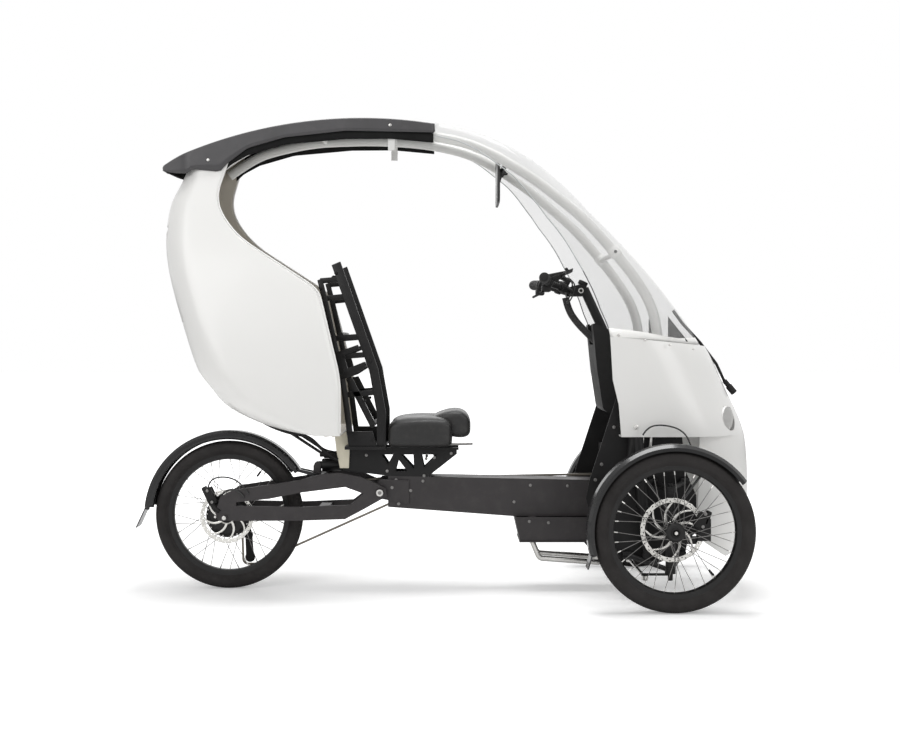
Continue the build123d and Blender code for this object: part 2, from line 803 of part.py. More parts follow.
back_base_top = rail_top_z + 12
back_frame = block(rail_start_x, pad_rear_x - 4, -200, 200, rail_top_z, back_base_top)
back_points = [(-343, 1092), (-214, 744), (-187, 600), (-196, back_base_top)]
rear_points = [(-398, 1040), (-384, 981), (-322, 700), (-290, back_base_top)]
front_rail = bent_rod([(x, back_rail_y, z) for x, z in back_points], back_rail_radius, 110)
rear_rail = bent_rod([(x, back_rail_y, z) for x, z in rear_points], back_rail_radius - 2, 90)
back_frame += front_rail + rear_rail
back_frame += mirrored(front_rail + rear_rail)
back_ribs = [(-323, 1036, -397), (-302, 981, -384), (-252, 845, -354), (-231, 786, -341), (-196, 660, -316)]
for x_front, z, x_rear in back_ribs:
    rib = rod((x_rear, back_rail_y, z), (x_front, back_rail_y, z), 6)
    back_frame += rib + mirrored(rib)
    back_frame += rod((x_rear, -back_rail_y, z), (x_rear, back_rail_y, z), 6)
parts["seat_back_frame"] = back_frame

# Rear shell: hollow trunk with walls of even thickness, open at the front
trunk_points = [
    (-288, 547),
    (-316, 714),
    (-392, 990),
    (-600, 1140),
    (-712, 1255),
    (-694, 1400),
    (-780, 1400),
    (-884, 1210),
    (-850, 1010),
    (-762, 745),
    (-690, 655),
    (-480, 537),
    (-330, 537),
]
trunk_bends = [8, 400, 60, 200, 90, 1, 1, 100, 600, 160, 160, 280, 60]
trunk_face = make_face(FilletPolyline(*trunk_points, radius=trunk_bends, close=True))
trunk_open = make_face(
    Polyline(
        (-312, 556),
        (-250, 556),
        (-250, 760),
        (-350, 1010),
        (-560, 1110),
        (-660, 1210),
        (-650, 1440),
        (-760, 1440),
        (-770, 1402),
        (-735, 1290),
        (-640, 1190),
        (-450, 1050),
        (-420, 990),
        (-350, 740),
        close=True,
    )
)


def profile_solid(face, half_width):
    return Pos(0, -half_width, 0) * extrude(Plane.XZ * face, amount=2 * half_width, dir=(0, 1, 0))


trunk_outer = profile_solid(trunk_face, trunk_half_width)
trunk_inner_face = offset(trunk_face, amount=-panel_wall) + trunk_open
trunk_inner = profile_solid(trunk_inner_face, trunk_half_width - panel_wall)
trunk = trunk_outer - trunk_inner


def roof_arc_solid(radius, half_width):
    """Everything below a cylinder that follows the roof's side line."""
    return Pos(roof_center_x, 0, roof_center_z) * rod((0, -half_width, 0), (0, half_width, 0), radius)


under_roof = roof_arc_solid(roof_radius - roof_skin - roof_flange - seat_gap, 400)
trunk = trunk & under_roof
hatch_box = block(-1000, -760, -hatch_half_width, hatch_half_width, hatch_low_z, hatch_high_z)
hatch_hole = block(
    -1000,
    -760,
    -hatch_half_width - hatch_gap,
    hatch_half_width + hatch_gap,
    hatch_low_z - hatch_gap,
    hatch_high_z + hatch_gap,
)
hatch = trunk & hatch_box
trunk -= hatch_hole
hinge_x = -886.0
hinge_z = hatch_high_z + 2
for side in (1, -1):
    for owner, y_low, y_high in (("trunk", 110, 140), ("hatch", 70, 109.5)):
        edge = sorted((side * y_low, side * y_high))
        eye = disc((hinge_x, hinge_z), 6, edge[0], edge[1])
        if owner == "trunk":
            leaf = block(hinge_x - 2, hinge_x + 14, edge[0], edge[1], hinge_z, hinge_z + 14)
            trunk += eye + leaf
        else:
            leaf = block(hinge_x - 2, hinge_x + 14, edge[0], edge[1], hinge_z - 26, hinge_z)
            hatch += eye + leaf
latch = block(-826, -800, -hatch_half_width + 6, -hatch_half_width + 40, hatch_low_z + 4, hatch_low_z + 34)
rail_clear = bent_rod([(x, back_rail_y, z) for x, z in rear_points], back_rail_radius - 2 + seat_gap, 90)
trunk -= rail_clear
trunk -= mirrored(rail_clear)
parts["trunk_shell"] = trunk
parts["trunk_hatch"] = hatch + latch

leg_outline = [(-356, 536.7), (-308, 536.7), (-302, 470), (-312, 430), (-340, 430), (-350, 470)]
leg = side_plate(leg_outline, bracket_y + bracket_thickness, bracket_y + bracket_thickness + 5)
stay_y = bracket_y + bracket_thickness + 2.5
stay = bent_rod([(-600, stay_y, 604), (-513, stay_y, 536), (-400, stay_y, 462), (-330, stay_y, 446)], 5, 60)
support = leg + stay - trunk_outer
parts["trunk_supports"] = Compound([support, mirrored(support)])

# Roof: crowned panel swept along one arc, with flanges down both sides
crown = roof_radius + roof_crown
edge_half = roof_half_width
section_outer = [
    Line((roof_radius - roof_flange, -edge_half), (roof_radius - 10, -edge_half)),
    Line((roof_radius - 10, -edge_half), (roof_radius, -edge_half + 12)),
    ThreePointArc((roof_radius, -edge_half + 12), (crown, 0), (roof_radius, edge_half - 12)),
    Line((roof_radius, edge_half - 12), (roof_radius - 10, edge_half)),
    Line((roof_radius - 10, edge_half), (roof_radius - roof_flange, edge_half)),
    Line((roof_radius - roof_flange, edge_half), (roof_radius - roof_flange, edge_half - roof_skin)),
    Line((roof_radius - roof_flange, edge_half - roof_skin), (roof_radius - 11, edge_half - roof_skin)),
    Line((roof_radius - 11, edge_half - roof_skin), (roof_radius - roof_skin, edge_half - 14)),
    ThreePointArc(
        (roof_radius - roof_skin, edge_half - 14),
        (crown - roof_skin, 0),
        (roof_radius - roof_skin, -edge_half + 14),
    ),
    Line((roof_radius - roof_skin, -edge_half + 14), (roof_radius - 11, -edge_half + roof_skin)),
    Line((roof_radius - 11, -edge_half + roof_skin), (roof_radius - roof_flange, -edge_half + roof_skin)),
    Line((roof_radius - roof_flange, -edge_half + roof_skin), (roof_radius - roof_flange, -edge_half)),
]


def roof_angle(x):
    """Degrees above straight ahead, seen from the roof arc's centre."""
    rise = sqrt(roof_radius**2 - (x - roof_center_x) ** 2)
    return degrees(atan2(rise, x - roof_center_x))


roof_start = roof_angle(roof_front_x)
roof_end = roof_angle(roof_rear_x)
roof_face = make_face(section_outer)
roof = revolve(
    Rot(0, -roof_start, 0) * roof_face, axis=Axis((0, 0, 0), (0, -1, 0)), revolution_arc=roof_end - roof_start
)
roof = Pos(roof_center_x, 0, roof_center_z) * roof
roof &= block(-1200, roof_front_x, -400, 400, 1000, 1700)
parts["roof_panel"] = roof


def roof_point(x, drop):
    """Height below the roof arc at a distance along the vehicle."""
    return roof_center_z + sqrt((roof_radius - drop) ** 2 - (x - roof_center_x) ** 2)


# Roof tubes: one bent tube on each side from the trunk to the front frame
tube_drop = roof_skin + tube_radius + 22
tube_points = [
    (-700, roof_point(-700, tube_drop)),
    (-560, roof_point(-560, tube_drop)),
    (-400, roof_point(-400, tube_drop)),
    (-200, roof_point(-200, tube_drop)),
    (-20, roof_point(-20, tube_drop)),
    (130, 1466),
    (236, 1410),
    (372, 1298),
    (640, 1030),
    (694, 950),
    (703, 800),
    (703, cross_high_z + 20),
]
roof_tube = bent_rod([(x, tube_y, z) for x, z in tube_points], tube_radius, 60, tube_radius - tube_wall)
roof_tubes = roof_tube + mirrored(roof_tube)
for x, z in ((-400, roof_point(-400, tube_drop)), (613, 1057)):
    bar = rod((x, -tube_y, z), (x, tube_y, z), 9)
    bar -= rod((x, -tube_y, z), (x, -tube_y + tube_radius - 1, z), tube_radius - 1)
    bar -= rod((x, tube_y - tube_radius + 1, z), (x, tube_y, z), tube_radius - 1)
    roof_tubes += bar
parts["roof_tubes"] = roof_tubes

# Hangers clamp the roof panel to the tubes
clamps = []
for x in (-120, -640):
    z = roof_point(x, tube_drop)
    hanger = block(x - 10, x + 10, tube_y + tube_radius + seat_gap, edge_half - roof_skin - seat_gap, z - 4, z)
    clamps += [hanger, mirrored(hanger)]
parts["roof_hangers"] = Compound(clamps)

# Windscreen: clear sheet wrapped from the roof's front edge to the hood
fan_x = roof_front_x + seat_gap
fan_z = 812.0
fan_start = 160.0
fan_reach = [
    (90, 728, 50),
    (67.5, 694.4, 70),
    (45, 684.5, 95),
    (33.75, 688, 110),
    (22.5, 719, 128),
    (11.25, 785, 165),
    (0, 898, 246),
]


def fan_section(angle, reach, corner, inset):
    """Tunnel section on a plane that leans forward by 90 less the angle."""
    half = cab_half_width - seat_gap - inset
    corner = corner - inset
    reach = reach - inset
    wire = [
        Line((fan_start, -half), (reach - corner, -half)),
        CenterArc((reach - corner, -half + corner), corner, 270, 90),
        Line((reach, -half + corner), (reach, half - corner)),
        CenterArc((reach - corner, half - corner), corner, 0, 90),
        Line((reach - corner, half), (fan_start, half)),
        Line((fan_start, half), (fan_start, -half)),
    ]
    turn = radians(angle)
    plane = Plane(origin=(fan_x, 0, fan_z), x_dir=(cos(turn), 0, sin(turn)), z_dir=(-sin(turn), 0, cos(turn)))
    return plane * make_face(wire)


screen_outer = loft([fan_section(a, r, c, 0) for a, r, c in fan_reach])
screen_inner = loft([fan_section(a, r, c, screen_wall) for a, r, c in fan_reach])
screen_keep = [
    (fan_x - 1, 1492),
    (128, 1446),
    (229, 1367),
    (407, 1144),
    (541, 866),
    (543, 842),
    (700, 824),
    (1000, 824),
    (1000, 1700),
    (fan_x - 1, 1700),
]
screen = (screen_outer - screen_inner) & across(screen_keep, 320)
parts["windscreen"] = screen

# Front fairing: round-fronted hood over the wheels and a narrow nose below
hood_levels = [(860, 858), (760, 921), (660, 967), (580, 1004), (hood_floor_z, 1019)]
nose_levels = [(hood_floor_z + 10, 1017), (460, half_length - 3), (340, half_length), (200, 1012), (131, 975)]


def plan_section(z, front_x, rear_x, half, corner, inset):
    half = half - inset
    corner = corner - inset
    front = front_x - inset
    wire = [
        Line((rear_x, -half), (front - corner, -half)),
        CenterArc((front - corner, -half + corner), corner, 270, 90),
        Line((front, -half + corner), (front, half - corner)),
        CenterArc((front - corner, half - corner), corner, 0, 90),
        Line((front - corner, half), (rear_x, half)),
        Line((rear_x, half), (rear_x, -half)),
    ]
    return Pos(0, 0, z) * make_face(wire)


hood_half = cab_half_width + panel_wall


def hood_solid(inset, low_extra):
    sections = [
        plan_section(z + (low_extra if z == hood_floor_z else 0), x, 500, hood_half, 250, inset)
        for z, x in hood_levels
    ]
    return loft(sections)


def nose_solid(inset):
    sections = [plan_section(z, x, 780, nose_half_width, 185, inset) for z, x in nose_levels]
    return loft(sections)


hood_keep = [
    (541, 852),
    (549, 714),
    (568, 634),
    (576, hood_floor_z),
    (1100, hood_floor_z),
    (1100, 822),
    (870, 822),
]
nose_keep = [
    (834, hood_floor_z + 6),
    (834, 396),
    (830, 298),
    (850, 190),
    (936, 131),
    (1100, 131),
    (1100, hood_floor_z + 6),
]
hood_outer = hood_solid(0, 0) & across(hood_keep, 320)
nose_outer = nose_solid(0) & across(nose_keep, 320)
fairing = (hood_outer + nose_outer) - hood_solid(panel_wall, panel_wall)
fairing -= nose_solid(panel_wall)
# Bottom of the hood is open between the footwell sides
fairing -= block(500, 836, -plate_inner_y - plate_thickness - seat_gap, plate_inner_y + plate_thickness + seat_gap, 500, 560)
lamp_out = Vector(0.788, 0.616, 0)
lamp_center = Vector(936, 172, 587)
lamp_radius = 40.0
lamp_hole = rod(lamp_center - lamp_out * 60, lamp_center + lamp_out * 60, lamp_radius + seat_gap)
fairing -= lamp_hole
fairing -= mirrored(lamp_hole)
damper_hole = rod(damper_high - damper_line * 100, damper_high - damper_line * 40, 19)
fairing -= damper_hole
fairing -= mirrored(damper_hole)
parts["front_fairing"] = fairing
lamp = rod(lamp_center - lamp_out * 40, lamp_center - lamp_out * 2, lamp_radius)
parts["headlamps"] = Compound([lamp, mirrored(lamp)])

# Dash panel round the column, open to the front and at the top
dash_half = 96.0
dash_face = make_face(
    FilletPolyline(
        (504, 900),
        (520, 740),
        (541, 600),
        (582, 597),
        (672, 640),
        (640, 760),
        (600, 860),
        radius=[6, 300, 30, 6, 6, 6, 6],
        close=True,
    )
)
dash_inner = offset(dash_face, amount=-panel_wall) + make_face(
    Polyline((560, 700), (720, 620), (760, 1000), (490, 1000), (512, 894), (530, 800), close=True)
)
dash = profile_solid(dash_face, dash_half) - profile_solid(dash_inner, dash_half - panel_wall)
dash -= block(490, 530, -46, 46, 826, 920)
dash -= rod(on_column(head_high - 80), on_column(head_low + 80), head_tube_radius + seat_gap)
parts["dash_panel"] = dash & block(400, 671, -dash_half, dash_half, 500, 1000)

mirror_z = 1380.0
mirror_glass = fillet(block(188, 197, -120, 120, 1299, 1461).edges().filter_by(Axis.X), 30)
for z in (1360, 1418):
    reach_y = tube_y
    arm = rod((198, 100, z), (226, reach_y - 2, z), 5)
    mirror_glass += arm
    mirror_glass += mirrored(arm)
tube_clear = bent_rod([(x, tube_y, z) for x, z in tube_points], tube_radius + seat_gap, 60)
mirror_glass -= tube_clear
mirror_glass -= mirrored(tube_clear)
parts["mirror"] = mirror_glass

wiper = rod((940, -50, 700), (978, -50, 712), 11)
wiper += bent_rod([(972, -50, 710), (905, -50, 830), (850, -50, 886)], 4, 60)
parts["wiper"] = wiper - hood_solid(-seat_gap, 0)

loom = bent_rod([(424, 0, 986), (432, 0, 948), (458, 0, 906), (500, 0, 862), (545, 0, 820)], 12, 55)
parts["cable_loom"] = loom

for name, shape in parts.items():
    export_step(shape, f"parts/{name}.step")
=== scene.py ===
from math import acos, atan2, cos, degrees, pi, radians, sin, sqrt, tau

import bmesh
import bpy
from mathutils import Matrix, Vector


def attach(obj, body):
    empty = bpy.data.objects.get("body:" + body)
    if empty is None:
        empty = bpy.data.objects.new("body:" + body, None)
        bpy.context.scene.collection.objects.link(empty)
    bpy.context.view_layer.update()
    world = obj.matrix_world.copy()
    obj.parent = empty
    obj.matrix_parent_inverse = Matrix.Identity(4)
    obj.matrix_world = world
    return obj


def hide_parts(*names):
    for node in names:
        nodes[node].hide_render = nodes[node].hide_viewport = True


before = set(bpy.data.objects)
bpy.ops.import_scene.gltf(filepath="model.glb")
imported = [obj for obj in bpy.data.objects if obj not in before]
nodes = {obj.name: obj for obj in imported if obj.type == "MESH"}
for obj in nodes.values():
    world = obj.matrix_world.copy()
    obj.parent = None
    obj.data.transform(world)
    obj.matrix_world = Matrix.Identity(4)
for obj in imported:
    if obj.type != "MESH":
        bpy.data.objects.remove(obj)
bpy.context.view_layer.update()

# Places shared with the frame. Lengths are metres; in sheets, plates and outlines they are millimetres
wheel_radius = 0.250
front_axle = Vector((0.722, 0, wheel_radius))
rear_axle = Vector((-0.718, 0, wheel_radius))
half_track = 0.380
chain_y = 0.061
swing_pivot = Vector((-0.203, 0, 0.333))
door_hinge = Vector((-0.886, 0, 1.192))
sides = (("right", -1), ("left", 1))
front_disc_y = 0.033
lamp_mouth = Vector((0.936, 0.172, 0.587))
lamp_way = Vector((0.788, 0.616, 0)).normalized()


def set_camera():
    """Level at seat height on the right-hand side, the picture shifted down a little."""
    camera = bpy.data.objects.new("camera", bpy.data.cameras.new("camera"))
    bpy.context.scene.collection.objects.link(camera)
    camera.location = (0.031, -4.0, 0.825)
    camera.rotation_euler = (pi / 2, 0, 0)
    camera.data.sensor_width = 36
    camera.data.lens = 47.04
    camera.data.shift_y = -0.0328
    bpy.context.scene.camera = camera
    bpy.context.scene.view_settings.view_transform = "Standard"


# Finishes
def joined(tree, start, end):
    tree.links.new(start, end)


def noise(tree, scale, detail, rough=0.55):
    """Noise on the object's own coordinates."""
    coords = tree.nodes.new("ShaderNodeTexCoord")
    field = tree.nodes.new("ShaderNodeTexNoise")
    field.inputs["Scale"].default_value = scale
    field.inputs["Detail"].default_value = detail
    field.inputs["Roughness"].default_value = rough
    joined(tree, coords.outputs["Object"], field.inputs["Vector"])
    return field.outputs["Fac"]


def ranged(tree, value, low, high, from_low=0.3, from_high=0.7):
    node = tree.nodes.new("ShaderNodeMapRange")
    node.inputs["From Min"].default_value = from_low
    node.inputs["From Max"].default_value = from_high
    node.inputs["To Min"].default_value = low
    node.inputs["To Max"].default_value = high
    joined(tree, value, node.inputs["Value"])
    return node.outputs["Result"]


def tint(tree, factor, first, second):
    """Colour between two shades; a socket may stand for the first."""
    node = tree.nodes.new("ShaderNodeMix")
    node.data_type = "RGBA"
    joined(tree, factor, node.inputs[0])
    if isinstance(first, bpy.types.NodeSocket):
        joined(tree, first, node.inputs[6])
    else:
        node.inputs[6].default_value = (*first, 1)
    node.inputs[7].default_value = (*second, 1)
    return node.outputs[2]


def summed(tree, kind, first, second=None):
    """Math node on sockets or numbers."""
    node = tree.nodes.new("ShaderNodeMath")
    node.operation = kind
    for spot, value in zip(node.inputs, (first, second)):
        if isinstance(value, bpy.types.NodeSocket):
            joined(tree, value, spot)
        elif value is not None:
            spot.default_value = value
    return node.outputs["Value"]


def finish_of(name, shade, rough, metal=0.0, drift=0.1, drift_scale=8.0, grain=900.0, relief=0.0001, dust=0.0,
              dust_shade=(0.32, 0.3, 0.27), coat=0.0, specular=0.5, gloss=0.18):
    """A paint, plastic or metal: slow colour drift, fine grain, uneven gloss and a little dust."""
    material = bpy.data.materials.new(name)
    material.use_nodes = True
    tree = material.node_tree
    shader = tree.nodes["Principled BSDF"]
    low = tuple(c * (1 - drift) for c in shade)
    high = tuple(min(1, c * (1 + drift)) for c in shade)
    colour = tint(tree, ranged(tree, noise(tree, drift_scale, 4), 0, 1), low, high)
    if dust:
        patches = ranged(tree, noise(tree, 26, 7, 0.7), 0, dust, 0.5, 0.78)
        colour = tint(tree, patches, colour, dust_shade)
    joined(tree, colour, shader.inputs["Base Color"])
    wear = ranged(tree, noise(tree, 14, 5, 0.65), rough * (1 - gloss), min(1, rough * (1 + gloss)))
    joined(tree, wear, shader.inputs["Roughness"])
    bump = tree.nodes.new("ShaderNodeBump")
    bump.inputs["Strength"].default_value = 0.5
    bump.inputs["Distance"].default_value = relief
    joined(tree, noise(tree, grain, 2, 0.6), bump.inputs["Height"])
    joined(tree, bump.outputs["Normal"], shader.inputs["Normal"])
    shader.inputs["Metallic"].default_value = metal
    shader.inputs["Specular IOR Level"].default_value = specular
    shader.inputs["Coat Weight"].default_value = coat
    shader.inputs["Coat Roughness"].default_value = 0.08
    return material


def clear_of(name, shade, rough, alpha, **more):
    """A clear sheet's finish."""
    material = finish_of(name, shade, rough, **more)
    material.node_tree.nodes["Principled BSDF"].inputs["Alpha"].default_value = alpha
    return material


shell_white = finish_of("shell_white", (0.84, 0.835, 0.815), 0.3, drift=0.008, drift_scale=3, relief=0.000006,
                        dust=0.003, dust_shade=(0.76, 0.74, 0.70), coat=0.25, gloss=0.03)
screen_edge = finish_of("screen_edge", (0.12, 0.12, 0.125), 0.3)
roof_grey = finish_of("roof_grey", (0.062, 0.06, 0.063), 0.42, drift=0.12, grain=1400, relief=0.00012,
                      dust=0.05,
                      gloss=0.1)
charcoal = finish_of("charcoal", (0.036, 0.0325, 0.0335), 0.52, grain=1800, relief=0.00015, dust=0.04,
                     specular=0.35)
frame_black = finish_of("frame_black", (0.0065, 0.0062, 0.0064), 0.45, drift=0.2, grain=1500, relief=0.00012,
                        dust=0.02, specular=0.28)
fender_black = finish_of("fender_black", (0.008, 0.008, 0.0085), 0.24, drift=0.15, grain=500, relief=0.00003,
                         dust=0.015, coat=0.25, specular=0.4)
moulded_black = finish_of("moulded_black", (0.0075, 0.0072, 0.0072), 0.6, drift=0.2, grain=1300,
                          relief=0.0002,
                          dust=0.02, specular=0.28)
grip_black = finish_of("grip_black", (0.019, 0.0185, 0.0185), 0.75, drift=0.2, grain=1100, relief=0.0003,
                       dust=0.06)
tyre_rubber = finish_of("tyre_rubber", (0.0185, 0.0165, 0.016), 0.74, drift=0.16, grain=700, relief=0.0002,
                        dust=0.06, specular=0.3, dust_shade=(0.10, 0.09, 0.08))
rim_black = finish_of("rim_black", (0.007, 0.0067, 0.0067), 0.38, drift=0.2, relief=0.00006, dust=0.02,
                      specular=0.35)
bright_steel = finish_of("bright_steel", (0.62, 0.61, 0.59), 0.27, metal=1, drift=0.12, grain=420,
                         relief=0.00004)
rotor_steel = finish_of("rotor_steel", (0.66, 0.65, 0.62), 0.24, metal=1, grain=300, relief=0.00003)
spoke_steel = finish_of("spoke_steel", (0.20, 0.195, 0.19), 0.38, metal=0.9, drift=0.15)
chain_steel = finish_of("chain_steel", (0.22, 0.2, 0.17), 0.42, metal=0.85, drift=0.25, dust=0.2,
                        dust_shade=(0.12, 0.1, 0.08))
tube_pale = finish_of("tube_pale", (0.72, 0.72, 0.70), 0.34, drift=0.03, relief=0.00005, dust=0.04, coat=0.2)
liner_edge = finish_of("liner_edge", (0.60, 0.565, 0.50), 0.7, drift=0.08, grain=420, dust=0.03)
hose_black = finish_of("hose_black", (0.02, 0.02, 0.02), 0.45, drift=0.2)
seat_skin = finish_of("seat_skin", (0.0075, 0.0072, 0.0072), 0.46, drift=0.18, grain=520, relief=0.00035,
                      dust=0.05)
mirror_back = finish_of("mirror_back", (0.02, 0.02, 0.02), 0.4, drift=0.2)
lamp_white = finish_of("lamp_white", (0.82, 0.815, 0.80), 0.3, drift=0.02, relief=0.00001)
cream = finish_of("cream", (0.74, 0.69, 0.55), 0.5, drift=0.05, relief=0.00005, dust=0.03)
lens_clear = clear_of("lens_clear", (0.86, 0.87, 0.86), 0.12, 0.12, drift=0.03)
screen_clear = clear_of("screen_clear", (0.66, 0.66, 0.655), 0.07, 0.15, drift=0.02, relief=0.000002)
screen_rim = finish_of("screen_rim", (0.5, 0.52, 0.52), 0.25, drift=0.06)
liner_black = finish_of("liner_black", (0.008, 0.008, 0.008), 0.75, drift=0.2, specular=0.2)

finishes = (
    (charcoal, "main_beam battery_tray swingarm"),
    (frame_black,
     "footwell_sides front_frame wishbones dampers rear_shock seat_bracket seat_back_frame handlebar "
                  "trunk_supports steering_shaft knuckle_left knuckle_right crank"),
    (moulded_black, "battery chain_tensioner dash_panel wiper pedal_left pedal_right"),
    (shell_white, "trunk_shell trunk_hatch roof_hangers front_fairing"),
    (fender_black, "rear_fender front_fender_left front_fender_right"),
    (bright_steel, "skid_tube track_rod"),
    (grip_black, "grips_and_levers cable_loom"),
    (tyre_rubber, "tyre_left tyre_right tyre_rear"),
    (rim_black, "wheel_left wheel_right wheel_rear"),
    (chain_steel, "chain"),
    (seat_skin, "seat_pad"),
    (roof_grey, "roof_panel"),
    (tube_pale, "roof_tubes"),
    (screen_clear, "windscreen"),
    (lens_clear, "headlamps"),
    (mirror_back, "mirror"),
)


def clothe_nodes():
    """Give the carried-over nodes their finishes."""
    for material, names in finishes:
        for name in names.split():
            for spot in nodes[name].material_slots:
                spot.material = material


# Shapes
def off(base, x, y, z=0.0):
    return base + Vector((x, y, z))


def shown(name, data, body):
    """Object in the scene that rides on a body."""
    piece = bpy.data.objects.new(name, data)
    bpy.context.scene.collection.objects.link(piece)
    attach(piece, body)
    return piece


def placed(name, shape, body, material, sharp=32.0):
    """Turn a finished bmesh into a piece that rides on a body."""
    mesh = bpy.data.meshes.new(name)
    shape.to_mesh(mesh)
    shape.free()
    mesh.shade_smooth()
    mesh.set_sharp_from_angle(angle=radians(sharp))
    mesh.materials.append(material)
    return shown(name, mesh, body)


def eased_edges(shape, edges, width, segments=2):
    bmesh.ops.bevel(shape, geom=edges, offset=width, affect="EDGES", segments=segments, profile=0.5,
                    material=-1)


def lathe(shape, profile, centre, turn_axis=(0, 1, 0), steps=64, closed=True):
    """Turn (radius, along) points round an axis; the profile is a closed ring unless told."""
    axis = Vector(turn_axis).normalized()
    across = axis.orthogonal().normalized()
    spots = [shape.verts.new(centre + across * r + axis * a) for r, a in profile]
    edges = [shape.edges.new(pair) for pair in zip(spots, spots[1:])]
    if closed:
        edges.append(shape.edges.new((spots[-1], spots[0])))
    bmesh.ops.spin(shape, geom=spots + edges, cent=centre, axis=axis, dvec=(0, 0, 0), angle=tau, steps=steps,
                   use_merge=True)
    bmesh.ops.remove_doubles(shape, verts=shape.verts, dist=0.00001)
    bmesh.ops.recalc_face_normals(shape, faces=shape.faces)


def pin(shape, start, end, radius, faces=16, chamfer=0.0):
    """Round bar between two points, with eased ends if asked."""
    start, end = Vector(start), Vector(end)
    line = end - start
    place = Matrix.Translation((start + end) / 2) @ line.to_track_quat("Z", "Y").to_matrix().to_4x4()
    made = bmesh.ops.create_cone(shape, cap_ends=True, segments=faces, radius1=radius, radius2=radius,
                                 depth=line.length, matrix=place)
    if chamfer:
        caps = {f for v in made["verts"] for f in v.link_faces if len(f.verts) == faces}
        eased_edges(shape, list({e for f in caps for e in f.edges}), chamfer)


def pins(shape, *rows):
    """Several bars, each as start, end, radius, faces and chamfer."""
    for row in rows:
        pin(shape, *row)


def block(shape, place, size, ease=0.0, turn=0.0, segments=2):
    """Block, turned about the axles' direction and with eased edges if asked."""
    spot = Matrix.Translation(place) @ Matrix.Rotation(turn, 4, "Y") @ Matrix.Diagonal((*size, 1))
    made = bmesh.ops.create_cube(shape, size=1, matrix=spot)
    if ease:
        eased_edges(shape, list({e for v in made["verts"] for e in v.link_edges}), ease, segments)


def bent_line(name, points, radius, roundness, steps):
    """Round line through NURBS points, as a curve."""
    curve = bpy.data.curves.new(name, "CURVE")
    curve.dimensions = "3D"
    curve.bevel_depth = radius
    curve.bevel_resolution = roundness
    curve.resolution_u = steps
    curve.use_fill_caps = True
    spline = curve.splines.new("NURBS")
    spline.points.add(len(points) - 1)
    for spot, point in zip(spline.points, points):
        spot.co = (*point, 1)
    spline.order_u = 3
    spline.use_endpoint_u = True
    return curve


def tube_line(name, points, radius, body, material, roundness=3):
    """Bent round line, kept as a mesh."""
    carrier = bpy.data.objects.new(name + "_line", bent_line(name, points, radius, roundness, 10))
    bpy.context.scene.collection.objects.link(carrier)
    mesh = bpy.data.meshes.new_from_object(carrier)
    bpy.data.objects.remove(carrier)
    mesh.name = name
    mesh.shade_smooth()
    mesh.materials.clear()
    mesh.materials.append(material)
    return shown(name, mesh, body)


def plate(shape, outline, low, high, ease=0.0012):
    """Plate from side-view points, between two distances across, with eased edges."""
    spots = [shape.verts.new((x / 1000, low / 1000, z / 1000)) for x, z in outline]
    edges = [shape.edges.new(pair) for pair in zip(spots, spots[1:] + spots[:1])]
    face = bmesh.ops.contextual_create(shape, geom=edges)["faces"]
    made = bmesh.ops.extrude_face_region(shape, geom=face)["geom"]
    moved = [g for g in made if isinstance(g, bmesh.types.BMVert)]
    bmesh.ops.translate(shape, verts=moved, vec=(0, (high - low) / 1000, 0))
    walls = list({f for v in spots + moved for f in v.link_faces})
    bmesh.ops.recalc_face_normals(shape, faces=walls)
    eased_edges(shape, list({e for f in walls for e in f.edges}), ease)


def mirror_over(shape):
    """Second copy of everything on the vehicle's other side."""
    copy = bmesh.ops.duplicate(shape, geom=shape.verts[:] + shape.edges[:] + shape.faces[:])["geom"]
    moved = [g for g in copy if isinstance(g, bmesh.types.BMVert)]
    bmesh.ops.scale(shape, verts=moved, vec=(1, -1, 1))
    bmesh.ops.recalc_face_normals(shape, faces=shape.faces)


def sheet_of(columns, rows, place):
    """Grid whose vertices go where place(column, row) says, in millimetres."""
    shape = bmesh.new()
    bmesh.ops.create_grid(shape, x_segments=columns, y_segments=rows, size=1)
    for spot in shape.verts:
        column = round((spot.co.x + 1) / 2 * columns)
        row = round((spot.co.y + 1) / 2 * rows)
        spot.co = Vector(place(column, row)) / 1000
    return shape


def turned_out(shape, inside):
    """Weld the sheet and turn its faces away from a point inside it."""
    bmesh.ops.remove_doubles(shape, verts=shape.verts, dist=0.00002)
    bmesh.ops.recalc_face_normals(shape, faces=shape.faces)
    inside = Vector(inside) / 1000
    facing = sum(f.normal.dot(f.calc_center_median() - inside) * f.calc_area() for f in shape.faces)
    if facing < 0:
        bmesh.ops.reverse_faces(shape, faces=shape.faces)


def walled(piece, wall, inner=None, bevel=0.0, offset=-1):
    """Wall thickness, inwards unless told, with its own finish on the inner side if one is given."""
    if bevel:
        ease = piece.modifiers.new("ease", "BEVEL")
        ease.width = bevel
        ease.segments = 3
        ease.limit_method = "ANGLE"
        ease.angle_limit = radians(35)
    thick = piece.modifiers.new("wall", "SOLIDIFY")
    thick.thickness = wall
    thick.offset = offset
    if inner:
        piece.data.materials.append(inner)
        thick.material_offset = 1


def subdivided(piece, name, levels):
    finer = piece.modifiers.new(name, "SUBSURF")
    finer.levels = finer.render_levels = levels


# Sections of the upper body, which draw in towards the roof
def even(low, high, count):
    return [low + (high - low) * i / count for i in range(count)]


def row_below(table, at):
    return max(i for i in range(len(table) - 1) if table[i][0] <= at)


def straight(table, at):
    """Value between two rows of a table of pairs."""
    at = min(max(at, table[0][0]), table[-1][0])
    first, second = table[row_below(table, at):][:2]
    return first[1] + (second[1] - first[1]) * (at - first[0]) / (second[0] - first[0])


